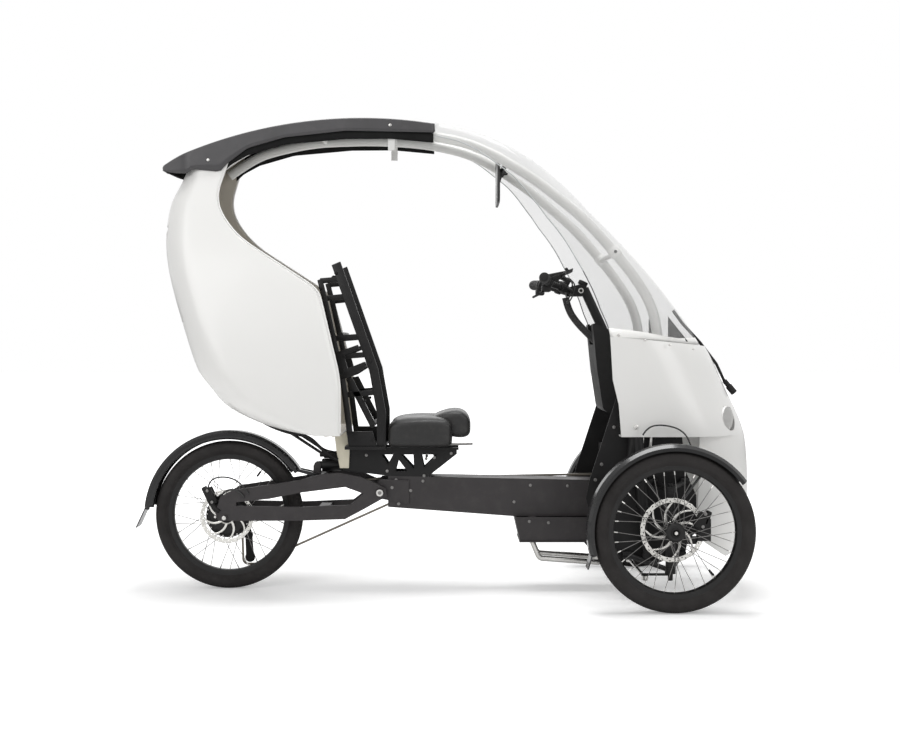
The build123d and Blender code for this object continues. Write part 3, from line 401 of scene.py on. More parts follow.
def eased(table, at):
    """Smooth value of every further column of a table at a place along its first column."""
    at = min(max(at, table[0][0]), table[-1][0])
    low = row_below(table, at)
    span = table[low + 1][0] - table[low][0]
    t = (at - table[low][0]) / span
    values = []
    for column in range(1, len(table[0])):
        slopes = []
        for i in (low, low + 1):
            first, second = table[max(i - 1, 0)], table[min(i + 1, len(table) - 1)]
            slopes.append((second[column] - first[column]) / (second[0] - first[0]) * span)
        start, end = table[low][column], table[low + 1][column]
        values.append((2 * t**3 - 3 * t**2 + 1) * start + (t**3 - 2 * t**2 + t) * slopes[0]
                      + (3 * t**2 - 2 * t**3) * end + (t**3 - t**2) * slopes[1])
    return values


def rounded(corners, bends, step=12.0):
    """Points along a line of straight runs whose corners are rounded by the given radii."""
    points = [Vector(corners[0])]
    for before, corner, after, bend in zip(corners, corners[1:], corners[2:], bends):
        before, corner, after = Vector(before), Vector(corner), Vector(after)
        back, ahead = (before - corner).normalized(), (after - corner).normalized()
        half = back.angle(ahead) / 2
        reach = bend / abs(sin(half) / cos(half))
        middle = corner + (back + ahead).normalized() * (bend / sin(half))
        start, end = corner + back * reach, corner + ahead * reach
        count = max(2, int((pi - 2 * half) * bend / step))
        for i in range(count + 1):
            way = (start - middle).lerp(end - middle, i / count)
            points.append(middle + way.normalized() * bend)
    points.append(Vector(corners[-1]))
    filled = [points[0]]
    for point in points[1:]:
        start = filled[-1].copy()
        pieces = max(1, int((point - start).length / (step * 2)))
        for i in range(1, pieces + 1):
            filled.append(start.lerp(point, i / pieces))
    return [p for i, p in enumerate(filled) if i == 0 or (p - filled[i - 1]).length > 0.01]


def corner_point(way, run, corner, half, inset):
    """Depth and side along a straight run, round a corner and then across to the middle."""
    if way <= run:
        return way, half - inset
    if way <= run + corner * pi / 2:
        bend = (way - run) / corner
        return run + (corner - inset) * sin(bend), half - corner + (corner - inset) * cos(bend)
    return run + corner - inset, half - corner - (way - run - corner * pi / 2)


# Tyres: rounded carcass, ribbed tread with cross cuts, moulded bead line
tyre_half = [
    (0.2033, 0.0125), (0.2052, 0.0165), (0.2078, 0.0172), (0.2088, 0.0182), (0.2110, 0.0186),
             (0.2122, 0.0202),
    (0.2190, 0.0232), (0.2270, 0.0249), (0.2340, 0.0246), (0.2392, 0.0228), (0.2418, 0.0222),
             (0.2436, 0.0196),
    (0.2462, 0.0160), (0.2446, 0.0152), (0.2450, 0.0138), (0.2478, 0.0128), (0.2492, 0.0085),
             (0.2476, 0.0078),
    (0.2478, 0.0064), (0.2497, 0.0056), (0.2500, 0.0026), (0.2484, 0.0018),
]
cuts_around, cut_slant, cut_depth = 88.0, 340.0, 0.0016
tread_from, tread_to = 0.2385, 0.2395


def tyre_finish(name, centre):
    """Rubber whose shoulder carries slanted cuts, read from the angle round the axle."""
    material = tyre_rubber.copy()
    material.name = name
    tree = material.node_tree
    fine = next(n for n in tree.nodes if n.type == "BUMP")
    coords = tree.nodes.new("ShaderNodeTexCoord")
    mapping = tree.nodes.new("ShaderNodeMapping")
    mapping.inputs["Location"].default_value = -centre
    joined(tree, coords.outputs["Object"], mapping.inputs["Vector"])
    parts = tree.nodes.new("ShaderNodeSeparateXYZ")
    joined(tree, mapping.outputs["Vector"], parts.inputs["Vector"])
    x, y, z = (parts.outputs[axis] for axis in "XYZ")
    turn = summed(tree, "MULTIPLY", summed(tree, "ARCTAN2", z, x), cuts_around)
    slant = summed(tree, "ADD", turn, summed(tree, "MULTIPLY", summed(tree, "ABSOLUTE", y), cut_slant))
    cut = ranged(tree, summed(tree, "SINE", slant), 0, 1, 0.55, 0.85)
    squares = summed(tree, "ADD", summed(tree, "MULTIPLY", x, x), summed(tree, "MULTIPLY", z, z))
    tread = ranged(tree, summed(tree, "SQRT", squares), 0, 1, tread_from, tread_to)
    bump = tree.nodes.new("ShaderNodeBump")
    bump.inputs["Strength"].default_value = 1
    bump.inputs["Distance"].default_value = cut_depth
    bump.invert = True
    joined(tree, summed(tree, "MULTIPLY", cut, tread), bump.inputs["Height"])
    joined(tree, fine.outputs["Normal"], bump.inputs["Normal"])
    joined(tree, bump.outputs["Normal"], tree.nodes["Principled BSDF"].inputs["Normal"])
    return material


def make_tyre(label, centre, body):
    shape = bmesh.new()
    lathe(shape, tyre_half + [(r, -y) for r, y in reversed(tyre_half)], centre, steps=128)
    name = f"tread_{label}"
    tyre = placed(name, shape, body, tyre_finish(name + "_rubber", centre), 50)
    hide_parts(f"tyre_{label}")


# Wheels: rim, laced spokes with nipples, hub, brake disc and valve
rim_edge = [(0.2030, 0.0150), (0.2068, 0.0160), (0.2072, 0.0146), (0.2050, 0.0128), (0.2028, 0.0100),
            (0.1990, 0.0060)]
rim_well = [(0.1950, -0.0152), (0.1905, -0.0140), (0.1882, -0.0100), (0.1868, -0.0048)]
front_hub = [
    (0.0102, -0.034), (0.0102, 0.026), (0.017, 0.026), (0.0195, 0.0235), (0.0200, 0.0202), (0.0290, 0.0198),
    (0.0300, 0.0185), (0.0290, 0.0168), (0.0190, 0.0160), (0.0160, 0.0110), (0.0155, -0.0110),
             (0.0190, -0.0160),
    (0.0290, -0.0168), (0.0300, -0.0185), (0.0290, -0.0198), (0.0215, -0.0205), (0.0210, -0.034),
]
motor_flange = [(0.0600, 0.0385), (0.0660, 0.0350), (0.0680, 0.0325), (0.0735, 0.0320), (0.0742, 0.0300),
                (0.0735, 0.0282), (0.0670, 0.0272), (0.0655, 0.0200)]
hub_stub = [(0.0, 0.0300), (0.0130, 0.0300), (0.0150, 0.0285), (0.0160, 0.0262), (0.0100, 0.0262),
            (0.0, 0.0262)]
spoke_head = 0.1880


def opposite(profile):
    return [(r, -y) for r, y in reversed(profile)]


def round_place(centre, radius, turn, y):
    return off(centre, radius * cos(turn), y, radius * sin(turn))


def lace(spokes, nipples, centre, hub_radius, flange_y, cross, count=36):
    """Crossed spokes between the hub's flanges and the rim, and their nipples."""
    for index in range(count):
        side = 1 if index % 2 else -1
        sweep = radians(cross if (index // 2) % 2 else -cross)
        at_rim = tau * index / count
        foot = round_place(centre, hub_radius, at_rim + sweep, side * flange_y)
        head = round_place(centre, spoke_head, at_rim, side * 0.002)
        line = (head - foot).normalized()
        pin(spokes, foot, head, 0.00105, 6)
        pin(nipples, head - line * 0.013, head, 0.0019, 8)
        pin(nipples, off(foot, 0, -side * 0.0028), off(foot, 0, side * 0.0028), 0.0022, 8)


def disc_band(shape, centre, radius, band, y):
    """Flat ring with two rows of holes and a wavy rim."""
    steps, waves, wave_depth = 120, 24, 0.018
    rows = [radius - band * share for share in (1, 0.80, 0.62, 0.42, 0.24, 0)]
    spots = [shape.verts.new(off(centre, r, y)) for r in rows]
    edges = [shape.edges.new(pair) for pair in zip(spots, spots[1:])]
    bmesh.ops.spin(shape, geom=spots + edges, cent=centre, axis=(0, 1, 0), dvec=(0, 0, 0), angle=tau,
                   steps=steps,
                   use_merge=True)
    holes = []
    for face in shape.faces:
        middle = face.calc_center_median() - centre
        reach = sqrt(middle.x ** 2 + middle.z ** 2)
        slot = int((atan2(middle.z, middle.x) % tau) / tau * steps) % 5
        if (rows[1] < reach < rows[2] and slot == 1) or (rows[3] < reach < rows[4] and slot == 3):
            holes.append(face)
    bmesh.ops.delete(shape, geom=holes, context="FACES")
    for spot in shape.verts:
        flat = spot.co - centre
        if sqrt(flat.x ** 2 + flat.z ** 2) > radius - 0.0005:
            spot.co = centre + flat * (1 - wave_depth * (1 + cos(atan2(flat.z, flat.x) * waves)) / 2)
            spot.co.y = centre.y + y


def make_disc(label, centre, body, radius, band, y):
    """Brake disc: the band on eight curved arms round a flat boss."""
    arms, boss, arm_width = 8, 0.030, 0.0050
    shape = bmesh.new()
    disc_band(shape, centre, radius, band, y)
    inner = radius - band + 0.002
    lead = [(boss * 0.6, 0.0), (boss * 1.2, 0.10), (boss * 1.9, 0.34), (boss * 2.5, 0.62), (inner, 0.80)]
    for index in range(arms):
        previous = None
        for reach, angle in lead:
            if reach > inner + 0.0001:
                continue
            turn = tau * index / arms - angle
            spread = arm_width / reach
            pair = [shape.verts.new(round_place(centre, reach, turn + away, y)) for away in (-spread, spread)]
            if previous:
                shape.faces.new((previous[0], previous[1], pair[1], pair[0]))
            previous = pair
    flat = Matrix.Translation(off(centre, 0, y)) @ Matrix.Rotation(pi / 2, 4, "X")
    bmesh.ops.create_circle(shape, cap_ends=True, segments=40, radius=boss, matrix=flat)
    bmesh.ops.recalc_face_normals(shape, faces=shape.faces)
    disc = placed(f"brake_disc_{label}", shape, body, rotor_steel)
    walled(disc, 0.0019, offset=0)
    subdivided(disc, "ease", 1)


def disc_bolts_and_valve(label, centre, body, disc_y, valve_turn):
    bolts, cap = bmesh.new(), bmesh.new()
    out = 0.0022 if disc_y > 0 else -0.0022
    for index in range(6):
        spot = round_place(centre, 0.022, tau * index / 6 + 0.3, disc_y)
        pin(bolts, off(spot, 0, -out), off(spot, 0, out), 0.0034, 10, 0.0006)
    way = Vector((cos(valve_turn), 0, sin(valve_turn)))
    pin(bolts, centre + way * 0.188, centre + way * 0.168, 0.0022, 10)
    pin(cap, centre + way * 0.180, centre + way * 0.158, 0.0034, 12, 0.0008)
    placed(f"disc_bolts_{label}", bolts, body, bright_steel)
    placed(f"valve_cap_{label}", cap, body, moulded_black)


def make_sprocket(shape):
    thick, teeth = 0.0012, 20
    for tooth in range(teeth):
        spot = round_place(rear_axle, 0.0415, tau * tooth / teeth, chain_y)
        pin(shape, off(spot, 0, -thick), off(spot, 0, thick), 0.0036, 8)
    low, high = chain_y - 0.0014, chain_y + 0.0014
    lathe(shape, [(0.0220, low), (0.0220, high), (0.0400, high), (0.0400, low)], rear_axle, steps=40)


def make_wheel(label, centre, body, inboard):
    """Everything on a wheel; inboard is the side that a front wheel's brake disc is on."""
    front = label != "rear"
    rim, spokes, nipples, hub, trim = (bmesh.new() for part in range(5))
    lathe(rim, rim_edge + opposite(rim_edge) + rim_well + opposite(rim_well), centre, steps=128)
    if front:
        lace(spokes, nipples, centre, 0.0265, 0.018, 60)
        lathe(hub, [(r, -inboard * y) for r, y in front_hub], centre, steps=48)
        lathe(trim, [(r, -inboard * y) for r, y in hub_stub], centre, steps=40, closed=False)
        radius, band, disc_y = 0.101, 0.016, inboard * front_disc_y
    else:
        lace(spokes, nipples, centre, 0.0700, 0.030, 24)
        lathe(hub, [(0.0072, -0.052), (0.0072, 0.052), (0.0200, 0.052), (0.0215, 0.0390)] + motor_flange
              + opposite(motor_flange) + [(0.0240, -0.0390), (0.0225, -0.0560)], centre)
        make_sprocket(trim)
        radius, band, disc_y = 0.091, 0.015, -0.051
    rim_piece = placed(f"rim_{label}", rim, body, rim_black)
    placed(f"spokes_{label}", spokes, body, spoke_steel)
    placed(f"nipples_{label}", nipples, body, bright_steel)
    placed(f"hub_{label}", hub, body, rim_black)
    placed(f"hub_trim_{label}", trim, body, moulded_black if front else chain_steel)
    make_disc(label, centre, body, radius, band, disc_y)
    disc_bolts_and_valve(label, centre, body, disc_y, radians(-48 if front else 54))
    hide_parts(f"wheel_{label}")


# Seat: two crowned cushions, each a closed skin through its sections, as x, half width, bottom and top
main_sections = [(-0.174, 0.132, 0.492, 0.548), (-0.168, 0.146, 0.487, 0.570), (-0.145, 0.153, 0.484, 0.583),
                 (-0.100, 0.155, 0.484, 0.589), (-0.040, 0.154, 0.484, 0.590), (0.006, 0.150, 0.485, 0.588),
                 (0.030, 0.144, 0.488, 0.578), (0.040, 0.132, 0.496, 0.560)]
nose_sections = [(-0.034, 0.076, 0.540, 0.582), (-0.018, 0.090, 0.536, 0.592), (0.010, 0.100, 0.526, 0.604),
                 (0.046, 0.104, 0.516, 0.611), (0.074, 0.101, 0.514, 0.607), (0.092, 0.094, 0.520, 0.592),
                 (0.101, 0.082, 0.534, 0.570)]


def make_cushion(name, sections, dish):
    shape = bmesh.new()
    rings = []
    for x, half, low, high in sections:
        made = bmesh.ops.create_circle(shape, cap_ends=False, segments=32, radius=1.0)
        for spot in made["verts"]:
            side, up = spot.co.x, spot.co.y
            square = min(1 / max(abs(side), abs(up), 0.72), 1.28)
            side, up = side * square, up * square
            sag = dish * max(0.0, 1 - abs(side) * 1.5) if up > 0.5 else 0.0
            spot.co = (x, side * half, (low + high) / 2 + up * (high - low) / 2 - sag)
        rings.append(list({e for v in made["verts"] for e in v.link_edges}))
    for first, second in zip(rings, rings[1:]):
        bmesh.ops.bridge_loops(shape, edges=first + second)
    for ring in (rings[0], rings[-1]):
        bmesh.ops.edgeloop_fill(shape, edges=ring)
    bmesh.ops.recalc_face_normals(shape, faces=shape.faces)
    seat = placed(name, shape, "chassis", seat_skin, 180)
    if name == "seat_cushion":
        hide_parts("seat_pad")
    subdivided(seat, "round_off", 2)


def make_seat_lever():
    lever = bmesh.new()
    pin(lever, (0.030, -0.118, 0.497), (0.106, -0.118, 0.499), 0.0038, 14, 0.001)
    placed("seat_lever", lever, "chassis", spoke_steel)


# Rear shell: height, stern, half width and corner radius of its level sections
shell_levels = [
    (536, -402, 274, 16), (541, -446, 274, 50), (552, -508, 274, 84), (575, -590, 273, 104),
                (625, -690, 272, 110),
    (680, -742, 269, 110), (741, -788, 264, 110), (875, -838, 246, 108), (1010, -882, 218, 104),
    (1110, -906, 192, 100), (1200, -913, 166, 95), (1300, -900, 140, 88), (1380, -864, 124, 80),
    (1460, -826, 122, 76),
]
shell_front = [(p.y, p.x) for p in rounded(
    [(-318, 530), (-319, 716), (-392, 1003), (-672, 1185), (-745, 1300), (-674, 1520)], [400, 60, 300, 130],
                                           8)]
shell_inside = (-560, 0, 900)
shell_wall = 0.004
shell_foot, close_from, close_run, front_close, stern_close = 536, 1300, 200, 206, 159
door_low, door_high, door_turn, door_gap = 900.0, 1187.0, 70.0, 3.5
hole_low, hole_high, hole_upright = door_low - door_gap, 1217.0, 1165.0
side_count, back_count = 22, 16
half_count = side_count + back_count
shell_rows = [shell_foot, shell_foot, 537.5, 540, 544, 549, 556, 565] + even(576, 690,
                                                                             8) + even(690, hole_low, 12)
shell_rows += even(hole_low, hole_high, 20) + even(hole_high, close_from, 6)
shell_rows += even(close_from, close_from + close_run, 14) + [close_from + close_run]
door_rows = even(door_low, door_high, 20) + [door_high]
door_rolls = range(180, 99, -8)

# Roof: an arc in the side view, a little lower towards its edges
roof_radius, roof_x, roof_z = 1532.0, -260.0, 53.0
roof_half, roof_tail, roof_shoulder = 128.6, -938.0, -845.0
roof_low = [(-938, 1414), (-910, 1402), (-880, 1395), (-836, 1390), (-818, 1404), (-727, 1396), (-702, 1424),
            (-635, 1474), (-514, 1509), (-312, 1531), (-20, 1525)]
roof_line = rounded([(-20, -roof_half), (roof_shoulder, -roof_half), (roof_tail, -45), (roof_tail, 45),
                     (roof_shoulder, roof_half), (-20, roof_half)], [60, 35, 35, 60], 7)
top_rows, flange_rows = 9, 4
liner_low = [(-716, 1398), (-690, 1422), (-635, 1452), (-514, 1487), (-312, 1505), (-166, 1506), (-24, 1493)]
liner_start, liner_run, liner_y, liner_columns = -716, 692, 118, 60


def roof_top(x, y, drop=0.0):
    reach = roof_radius - 14 * (y / 140) ** 2 - drop
    return roof_z + sqrt(reach ** 2 - (x - roof_x) ** 2)


def shell_run(z):
    """Front, stern, half width and corner of a row, and how far it has closed in on the roof."""
    t = max(0.0, (z - close_from) / close_run)
    front_z, stern_z = (close_from + front_close * t, close_from + stern_close * t) if t else (z, z)
    return straight(shell_front, front_z), *eased(shell_levels, stern_z), t


def shell_point(z, share, inset=0.0):
    """Point on the shell's outer face: share 0 at the front edge, 1 at the middle of the stern."""
    front, stern, half, corner, t = shell_run(z)
    run = front - stern - corner
    depth, y = corner_point(share * (run + corner * pi / 2 + half - corner), run, corner, half, inset)
    x = front - depth
    height = close_from + (roof_top(x, y, 5) - close_from) * t if t else z
    return x, y, height


def split_share(z, index, gap=0.0):
    """Share of a column in a row; the door's edge is where the corner has turned enough, less a gap."""
    front, stern, half, corner, _ = shell_run(min(max(z, hole_low), hole_high))
    turn = radians(door_turn)
    if z > hole_upright:
        _, _, low_half, low_corner, _ = shell_run(hole_upright)
        edge = low_half - low_corner + low_corner * cos(turn)
        turn = acos((edge - half + corner) / corner)
    run = front - stern - corner
    split = (run + corner * turn - gap) / (run + corner * pi / 2 + half - corner)
    if index <= side_count:
        return split * index / side_count
    return split + (1 - split) * (index - side_count) / back_count


def shell_place(column, row):
    index = min(column, 2 * half_count - column)
    side = -1 if column < half_count else 1
    x, y, z = shell_point(shell_rows[row], split_share(shell_rows[row], index, door_gap))
    if row == 0:
        x = shell_run(shell_foot)[0]
    return x, side * y, z


def make_rear_shell():
    shell = sheet_of(2 * half_count, len(shell_rows) - 1, shell_place)
    hole = []
    for face in shell.faces:
        middle = face.calc_center_median() * 1000
        edge_x, edge_y, _ = shell_point(middle.z, split_share(middle.z, side_count, door_gap))
        if hole_low < middle.z < hole_high and abs(middle.y) < edge_y - 0.5 and middle.x < edge_x:
            hole.append(face)
    bmesh.ops.delete(shell, geom=hole, context="FACES")
    turned_out(shell, shell_inside)
    shell_piece = placed("rear_shell", shell, "chassis", shell_white, 40)
    walled(shell_piece, shell_wall, liner_edge)
    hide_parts("trunk_shell")


def door_place(column, row):
    """Below its top the door follows the shell; above it, a lip rolls round the hinge."""
    index = side_count + min(column, 2 * back_count - column)
    side = -1 if column < back_count else 1
    z = door_rows[min(row, len(door_rows) - 1)]
    x, y, height = shell_point(z, split_share(z, index))
    if row < len(door_rows):
        return x, side * y, height
    roll = radians(door_rolls[row - len(door_rows)])
    pivot_x, pivot_z = door_hinge.x * 1000, door_hinge.z * 1000
    reach = pivot_x - x
    return pivot_x + reach * cos(roll), side * y, pivot_z + reach * sin(roll)


def make_rear_door():
    door = sheet_of(2 * back_count, len(door_rows) + len(door_rolls) - 1, door_place)
    turned_out(door, shell_inside)
    door_piece = placed("rear_door_panel", door, "rear_door", shell_white, 40)
    walled(door_piece, shell_wall, liner_edge)
    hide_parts("trunk_hatch")


def make_hinges():
    knuckle, strap = bmesh.new(), bmesh.new()
    for y in (-0.052, 0.052):
        pin(knuckle, off(door_hinge, 0, y - 0.016), off(door_hinge, 0, y + 0.016), 0.0032, 14)
        for step in (y - 0.013, y + 0.013):
            pin(knuckle, off(door_hinge, 0, step - 0.003), off(door_hinge, 0, step + 0.003), 0.0062, 18)
            pin(knuckle, off(door_hinge, 0, step), off(door_hinge, -0.0052, step, 0.014), 0.003, 10)
        pin(strap, off(door_hinge, 0, y - 0.0085), off(door_hinge, 0, y + 0.0085), 0.0062, 18)
        pin(strap, off(door_hinge, -0.001, y, -0.002), off(door_hinge, -0.0060, y, -0.026), 0.0036, 12)
        pin(strap, off(door_hinge, -0.0060, y, -0.024), off(door_hinge, -0.0168, y, -0.060), 0.0036, 12)
    placed("hinge_knuckles", knuckle, "chassis", frame_black)
    placed("hinge_straps", strap, "rear_door", frame_black)


def make_latch():
    latch = bmesh.new()
    stern = shell_point(914, 1.0)[0] / 1000
    block(latch, (stern - 0.004, 0, 0.916), (0.014, 0.034, 0.026), 0.0035, segments=3)
    pin(latch, (stern - 0.009, 0, 0.918), (stern - 0.0135, 0, 0.918), 0.006, 20, 0.001)
    placed("door_latch", latch, "rear_door", moulded_black)


def make_shell_beads():
    for label, side in sides:
        edge = []
        for row in even(545, 1490, 40):
            x, y, z = shell_point(row, 0.0)
            edge.append(((x + 0.4) / 1000, side * (y - 2) / 1000, z / 1000))
        tube_line(f"shell_bead_{label}", edge, 0.0033, "chassis", shell_white)


def roof_place(column, row):
    """Rows from the spine to the edge, then down the flange."""
    x, y = roof_line[column]
    if row <= top_rows:
        spine = max(x, roof_shoulder)
        x, y = spine + (x - spine) * row / top_rows, y * row / top_rows
        return x, y, roof_top(x, y)
    top = roof_top(x, y)
    low = min(straight(roof_low, x), top - 14)
    return x, y, top + (low - top) * (row - top_rows) / flange_rows


def make_roof():
    roof = sheet_of(len(roof_line) - 1, top_rows + flange_rows, roof_place)
    turned_out(roof, (-400, 0, 1100))
    roof_piece = placed("roof_skin", roof, "chassis", roof_grey, 40)
    walled(roof_piece, 0.004, frame_black, 0.004)
    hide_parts("roof_panel")


def make_roof_liner(label, side):
    def liner_place(column, row):
        x = liner_start + liner_run * column / liner_columns
        low = straight(liner_low, x)
        return x, side * liner_y, low + (min(roof_top(x, liner_y, 8), low + 44) - low) * row / 2

    liner = sheet_of(liner_columns, 2, liner_place)
    turned_out(liner, (-400, 0, 1500))
    walled(placed(f"roof_liner_{label}", liner, "chassis", liner_black, 40), 0.003)


# Roof tubes, one a side, with cross bars, clamps and hangers
tube_path = [(-735, 88, 1412), (-650, 90, 1474), (-560, 91, 1502), (-445, 92, 1526), (-310, 92, 1533),
             (-175, 92, 1533), (-20, 94, 1519), (130, 110, 1483), (300, 138, 1376), (385, 151, 1307),
             (470, 164, 1236), (555, 175, 1140), (631, 184, 1046), (690, 187, 945), (706, 188, 840),
             (706, 188, 745), (706, 188, 650)]
hanger_x, hanger_y, hanger_tube_y, hanger_tube_z = -0.163, 0.1095, 0.092, 1.533


def make_roof_tubes():
    for label, side in sides:
        spots = [(x / 1000, side * y / 1000, z / 1000) for x, y, z in tube_path]
        tube = tube_line(f"roof_tube_{label}", spots, 0.0168, "chassis", tube_pale, 6)
        if label == "right":
            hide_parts("roof_tubes")


def make_roof_clamps():
    bars, clamps, bolts = bmesh.new(), bmesh.new(), bmesh.new()
    for x, half, z in ((-0.400, 0.092, 1.529), (0.567, 0.176, 1.125)):
        pin(bars, (x, -half, z), (x, half, z), 0.0095, 20)
    for side in (-1, 1):
        spot = Vector((0.566, side * 0.176, 1.127))
        way = Vector((76, side * 10, -94)).normalized()
        pin(clamps, spot - way * 0.016, spot + way * 0.016, 0.0198, 24, 0.002)
        pin(clamps, off(spot, 0, -side * 0.016), off(spot, 0, side * 0.0225), 0.010, 20, 0.0015)
        pin(bolts, off(spot, 0, side * 0.020), off(spot, 0, side * 0.0255), 0.0052, 12, 0.001)
        top = roof_top(hanger_x * 1000, 110, 5) / 1000
        low = hanger_tube_z - 0.064
        block(clamps, (hanger_x, side * hanger_y, (top + low) / 2), (0.022, 0.003, top - low))
        tube = Vector((hanger_x, side * hanger_tube_y, hanger_tube_z))
        pin(clamps, off(tube, -0.011, 0), off(tube, 0.011, 0), 0.0184, 24, 0.001)
        stud = Vector((hanger_x, side * hanger_y, hanger_tube_z - 0.006))
        pin(bolts, stud, off(stud, 0, side * 0.005), 0.0042, 12, 0.001)
    placed("roof_cross_bars", bars, "chassis", tube_pale)
    hanger_piece = placed("roof_tube_clamps", clamps, "chassis", shell_white)
    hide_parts("roof_hangers")
    placed("roof_clamp_bolts", bolts, "chassis", frame_black)


def make_roof_rivets():
    rivets = bmesh.new()
    for side in (-1, 1):
        for x, z in ((-0.765, 1.434), (-0.166, 1.549)):
            pin(rivets, (x, side * 0.1275, z), (x, side * 0.1312, z), 0.0052, 18, 0.0012)
    placed("roof_rivets", rivets, "chassis", bright_steel)


# Windscreen: sections that lean forward from the roof to the hood, as angle, reach, corner and half width
screen_x, screen_z = -19.6, 812.0
screen_levels = [(0, 898, 246, 256), (11.25, 792, 130, 245), (22.5, 728, 90, 226), (33.75, 691.5, 70, 206),
                 (45, 681, 60, 188), (67.5, 713, 50, 152), (90, 756, 40, 125)]
screen_rear = [
    (degrees(atan2(z - screen_z, x - screen_x)), sqrt((x - screen_x) ** 2 + (z - screen_z) ** 2)) for x,
               z in (
        (700, 824), (543, 842), (541, 866), (511, 940), (471, 1039), (434, 1109), (388, 1186), (346, 1239),
        (297, 1306), (234, 1382), (190, 1415), (128, 1462), (60, 1496), (-19.6, 1515))
]
screen_angles = [0.8, 1.6, 2.4, 3.1, 4.2, 5.5] + even(7, 90, 40) + [90]
screen_half_count = 28


def screen_point(angle, share, inset=0.0):
    """Point on the screen's outer face: share 0 at its rear edge, 1 at the middle of its front."""
    reach, corner, half = eased(screen_levels, angle)
    rear = straight(screen_rear, angle)
    run = reach - corner
    start = rear
    if rear > run:
        turn = min(1.0, (rear - run) / corner)
        start = run + corner * atan2(turn, sqrt(1 - turn * turn))
    whole = run + corner * pi / 2 + half - corner
    out, y = corner_point(start + share * (whole - start), run, corner, half, inset)
    lean = radians(angle)
    return screen_x + out * cos(lean), y, screen_z + out * sin(lean)


def screen_place(column, row):
    index = min(column, 2 * screen_half_count - column)
    side = -1 if column < screen_half_count else 1
    x, y, z = screen_point(screen_angles[row], index / screen_half_count)
    return x, side * y, z


def make_screen():
    screen = sheet_of(2 * screen_half_count, len(screen_angles) - 1, screen_place)
    turned_out(screen, (300, 0, 900))
    screen_piece = placed("clear_screen", screen, "chassis", screen_clear, 60)
    walled(screen_piece, 0.003)
    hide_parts("windscreen")


def make_screen_edges(label, side):
    for part, angles, bead in (("lower", screen_angles[3:17], screen_edge),
                               ("upper", screen_angles[16:], screen_rim)):
        edge = []
        for angle in angles:
            x, y, z = screen_point(angle, 0.0, 1.5)
            edge.append((x / 1000, side * y / 1000, z / 1000))
        tube_line(f"screen_edge_{part}_{label}", edge, 0.0018, "chassis", bead)


def make_screen_strip(label, side):
    """White strip that closes the screen on the hood."""
    columns, share_end, angle_low, angle_high, angle_drop = 30, 0.75, 1.0, 6.9, 4.4

    def strip_place(column, row):
        share = share_end * column / columns
        high = angle_high - angle_drop * min(1.0, share / 0.45)
        x, y, z = screen_point(angle_low + (high - angle_low) * row / 2, share, -1.2)
        return x, side * y, z

    strip = sheet_of(columns, 2, strip_place)
    turned_out(strip, (300, 0, 850))
    walled(placed(f"screen_strip_{label}", strip, "chassis", shell_white, 40), 0.0018)


def make_hood_rivets():
    rivets = bmesh.new()
    for side in (-1, 1):
        for x, y, z in ((0.568, 0.2575, 0.857), (0.650, 0.2615, 0.841), (0.730, 0.2615, 0.825),
                        (0.806, 0.2585, 0.812)):
            pin(rivets, (x, side * (y - 0.004), z), (x, side * (y + 0.0022), z), 0.0040, 16, 0.001)
        pin(rivets, (0.622, side * 0.258, 0.564), (0.622, side * 0.2655, 0.564), 0.0075, 20, 0.0015)
    placed("hood_rivets", rivets, "chassis", bright_steel)


def make_mirror():
    """Rounded plate on two arms."""
    def depth(edge):
        return abs((edge.verts[0].co - edge.verts[1].co).x)

    mirror, arms = bmesh.new(), bmesh.new()
    block(mirror, (0.193, 0, 1.380), (0.009, 0.190, 0.160))
    eased_edges(mirror, [e for e in mirror.edges if depth(e) > 0.005], 0.028, 6)
    eased_edges(mirror, [e for e in mirror.edges if depth(e) < 0.001], 0.0018)
    for side in (-1, 1):
        pins(arms, ((0.198, side * 0.066, 1.402), (0.214, side * 0.090, 1.420), 0.0052, 14, 0.001),
             ((0.214, side * 0.090, 1.420), (0.232, side * 0.118, 1.424), 0.0052, 14, 0.001),
             ((0.196, side * 0.066, 1.388), (0.204, side * 0.066, 1.412), 0.0085, 16, 0.0015),
             ((0.208, side * 0.082, 1.412), (0.221, side * 0.098, 1.428), 0.0078, 16, 0.0015))
    mirror_piece = placed("mirror_plate", mirror, "chassis", mirror_back)
    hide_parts("mirror")
    placed("mirror_arms", arms, "chassis", moulded_black)


def make_wiper():
    """Blade and arm along the hood and screen, on a pivot at the hood's front."""
    blade, root = bmesh.new(), bmesh.new()
    spots = [Vector((x, -0.05, z)) for x, z in
             ((0.955, 0.698), (0.926, 0.760), (0.870, 0.833), (0.811, 0.897), (0.780, 0.940))]
    for start, end in zip(spots, spots[1:]):
        pin(blade, start, end, 0.0048, 12, 0.001)
        pin(blade, off(start, 0.004, 0.016, 0.003), off(end, 0.004, 0.016, 0.003), 0.0034, 10)
    pins(root, ((0.966, -0.050, 0.688), (0.986, -0.050, 0.664), 0.0115, 20, 0.002),
         ((0.952, -0.050, 0.706), (0.972, -0.050, 0.682), 0.0085, 16, 0.002))
    wiper_piece = placed("wiper_blade", blade, "chassis", moulded_black)
    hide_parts("wiper")
    placed("wiper_pivot", root, "chassis", moulded_black)


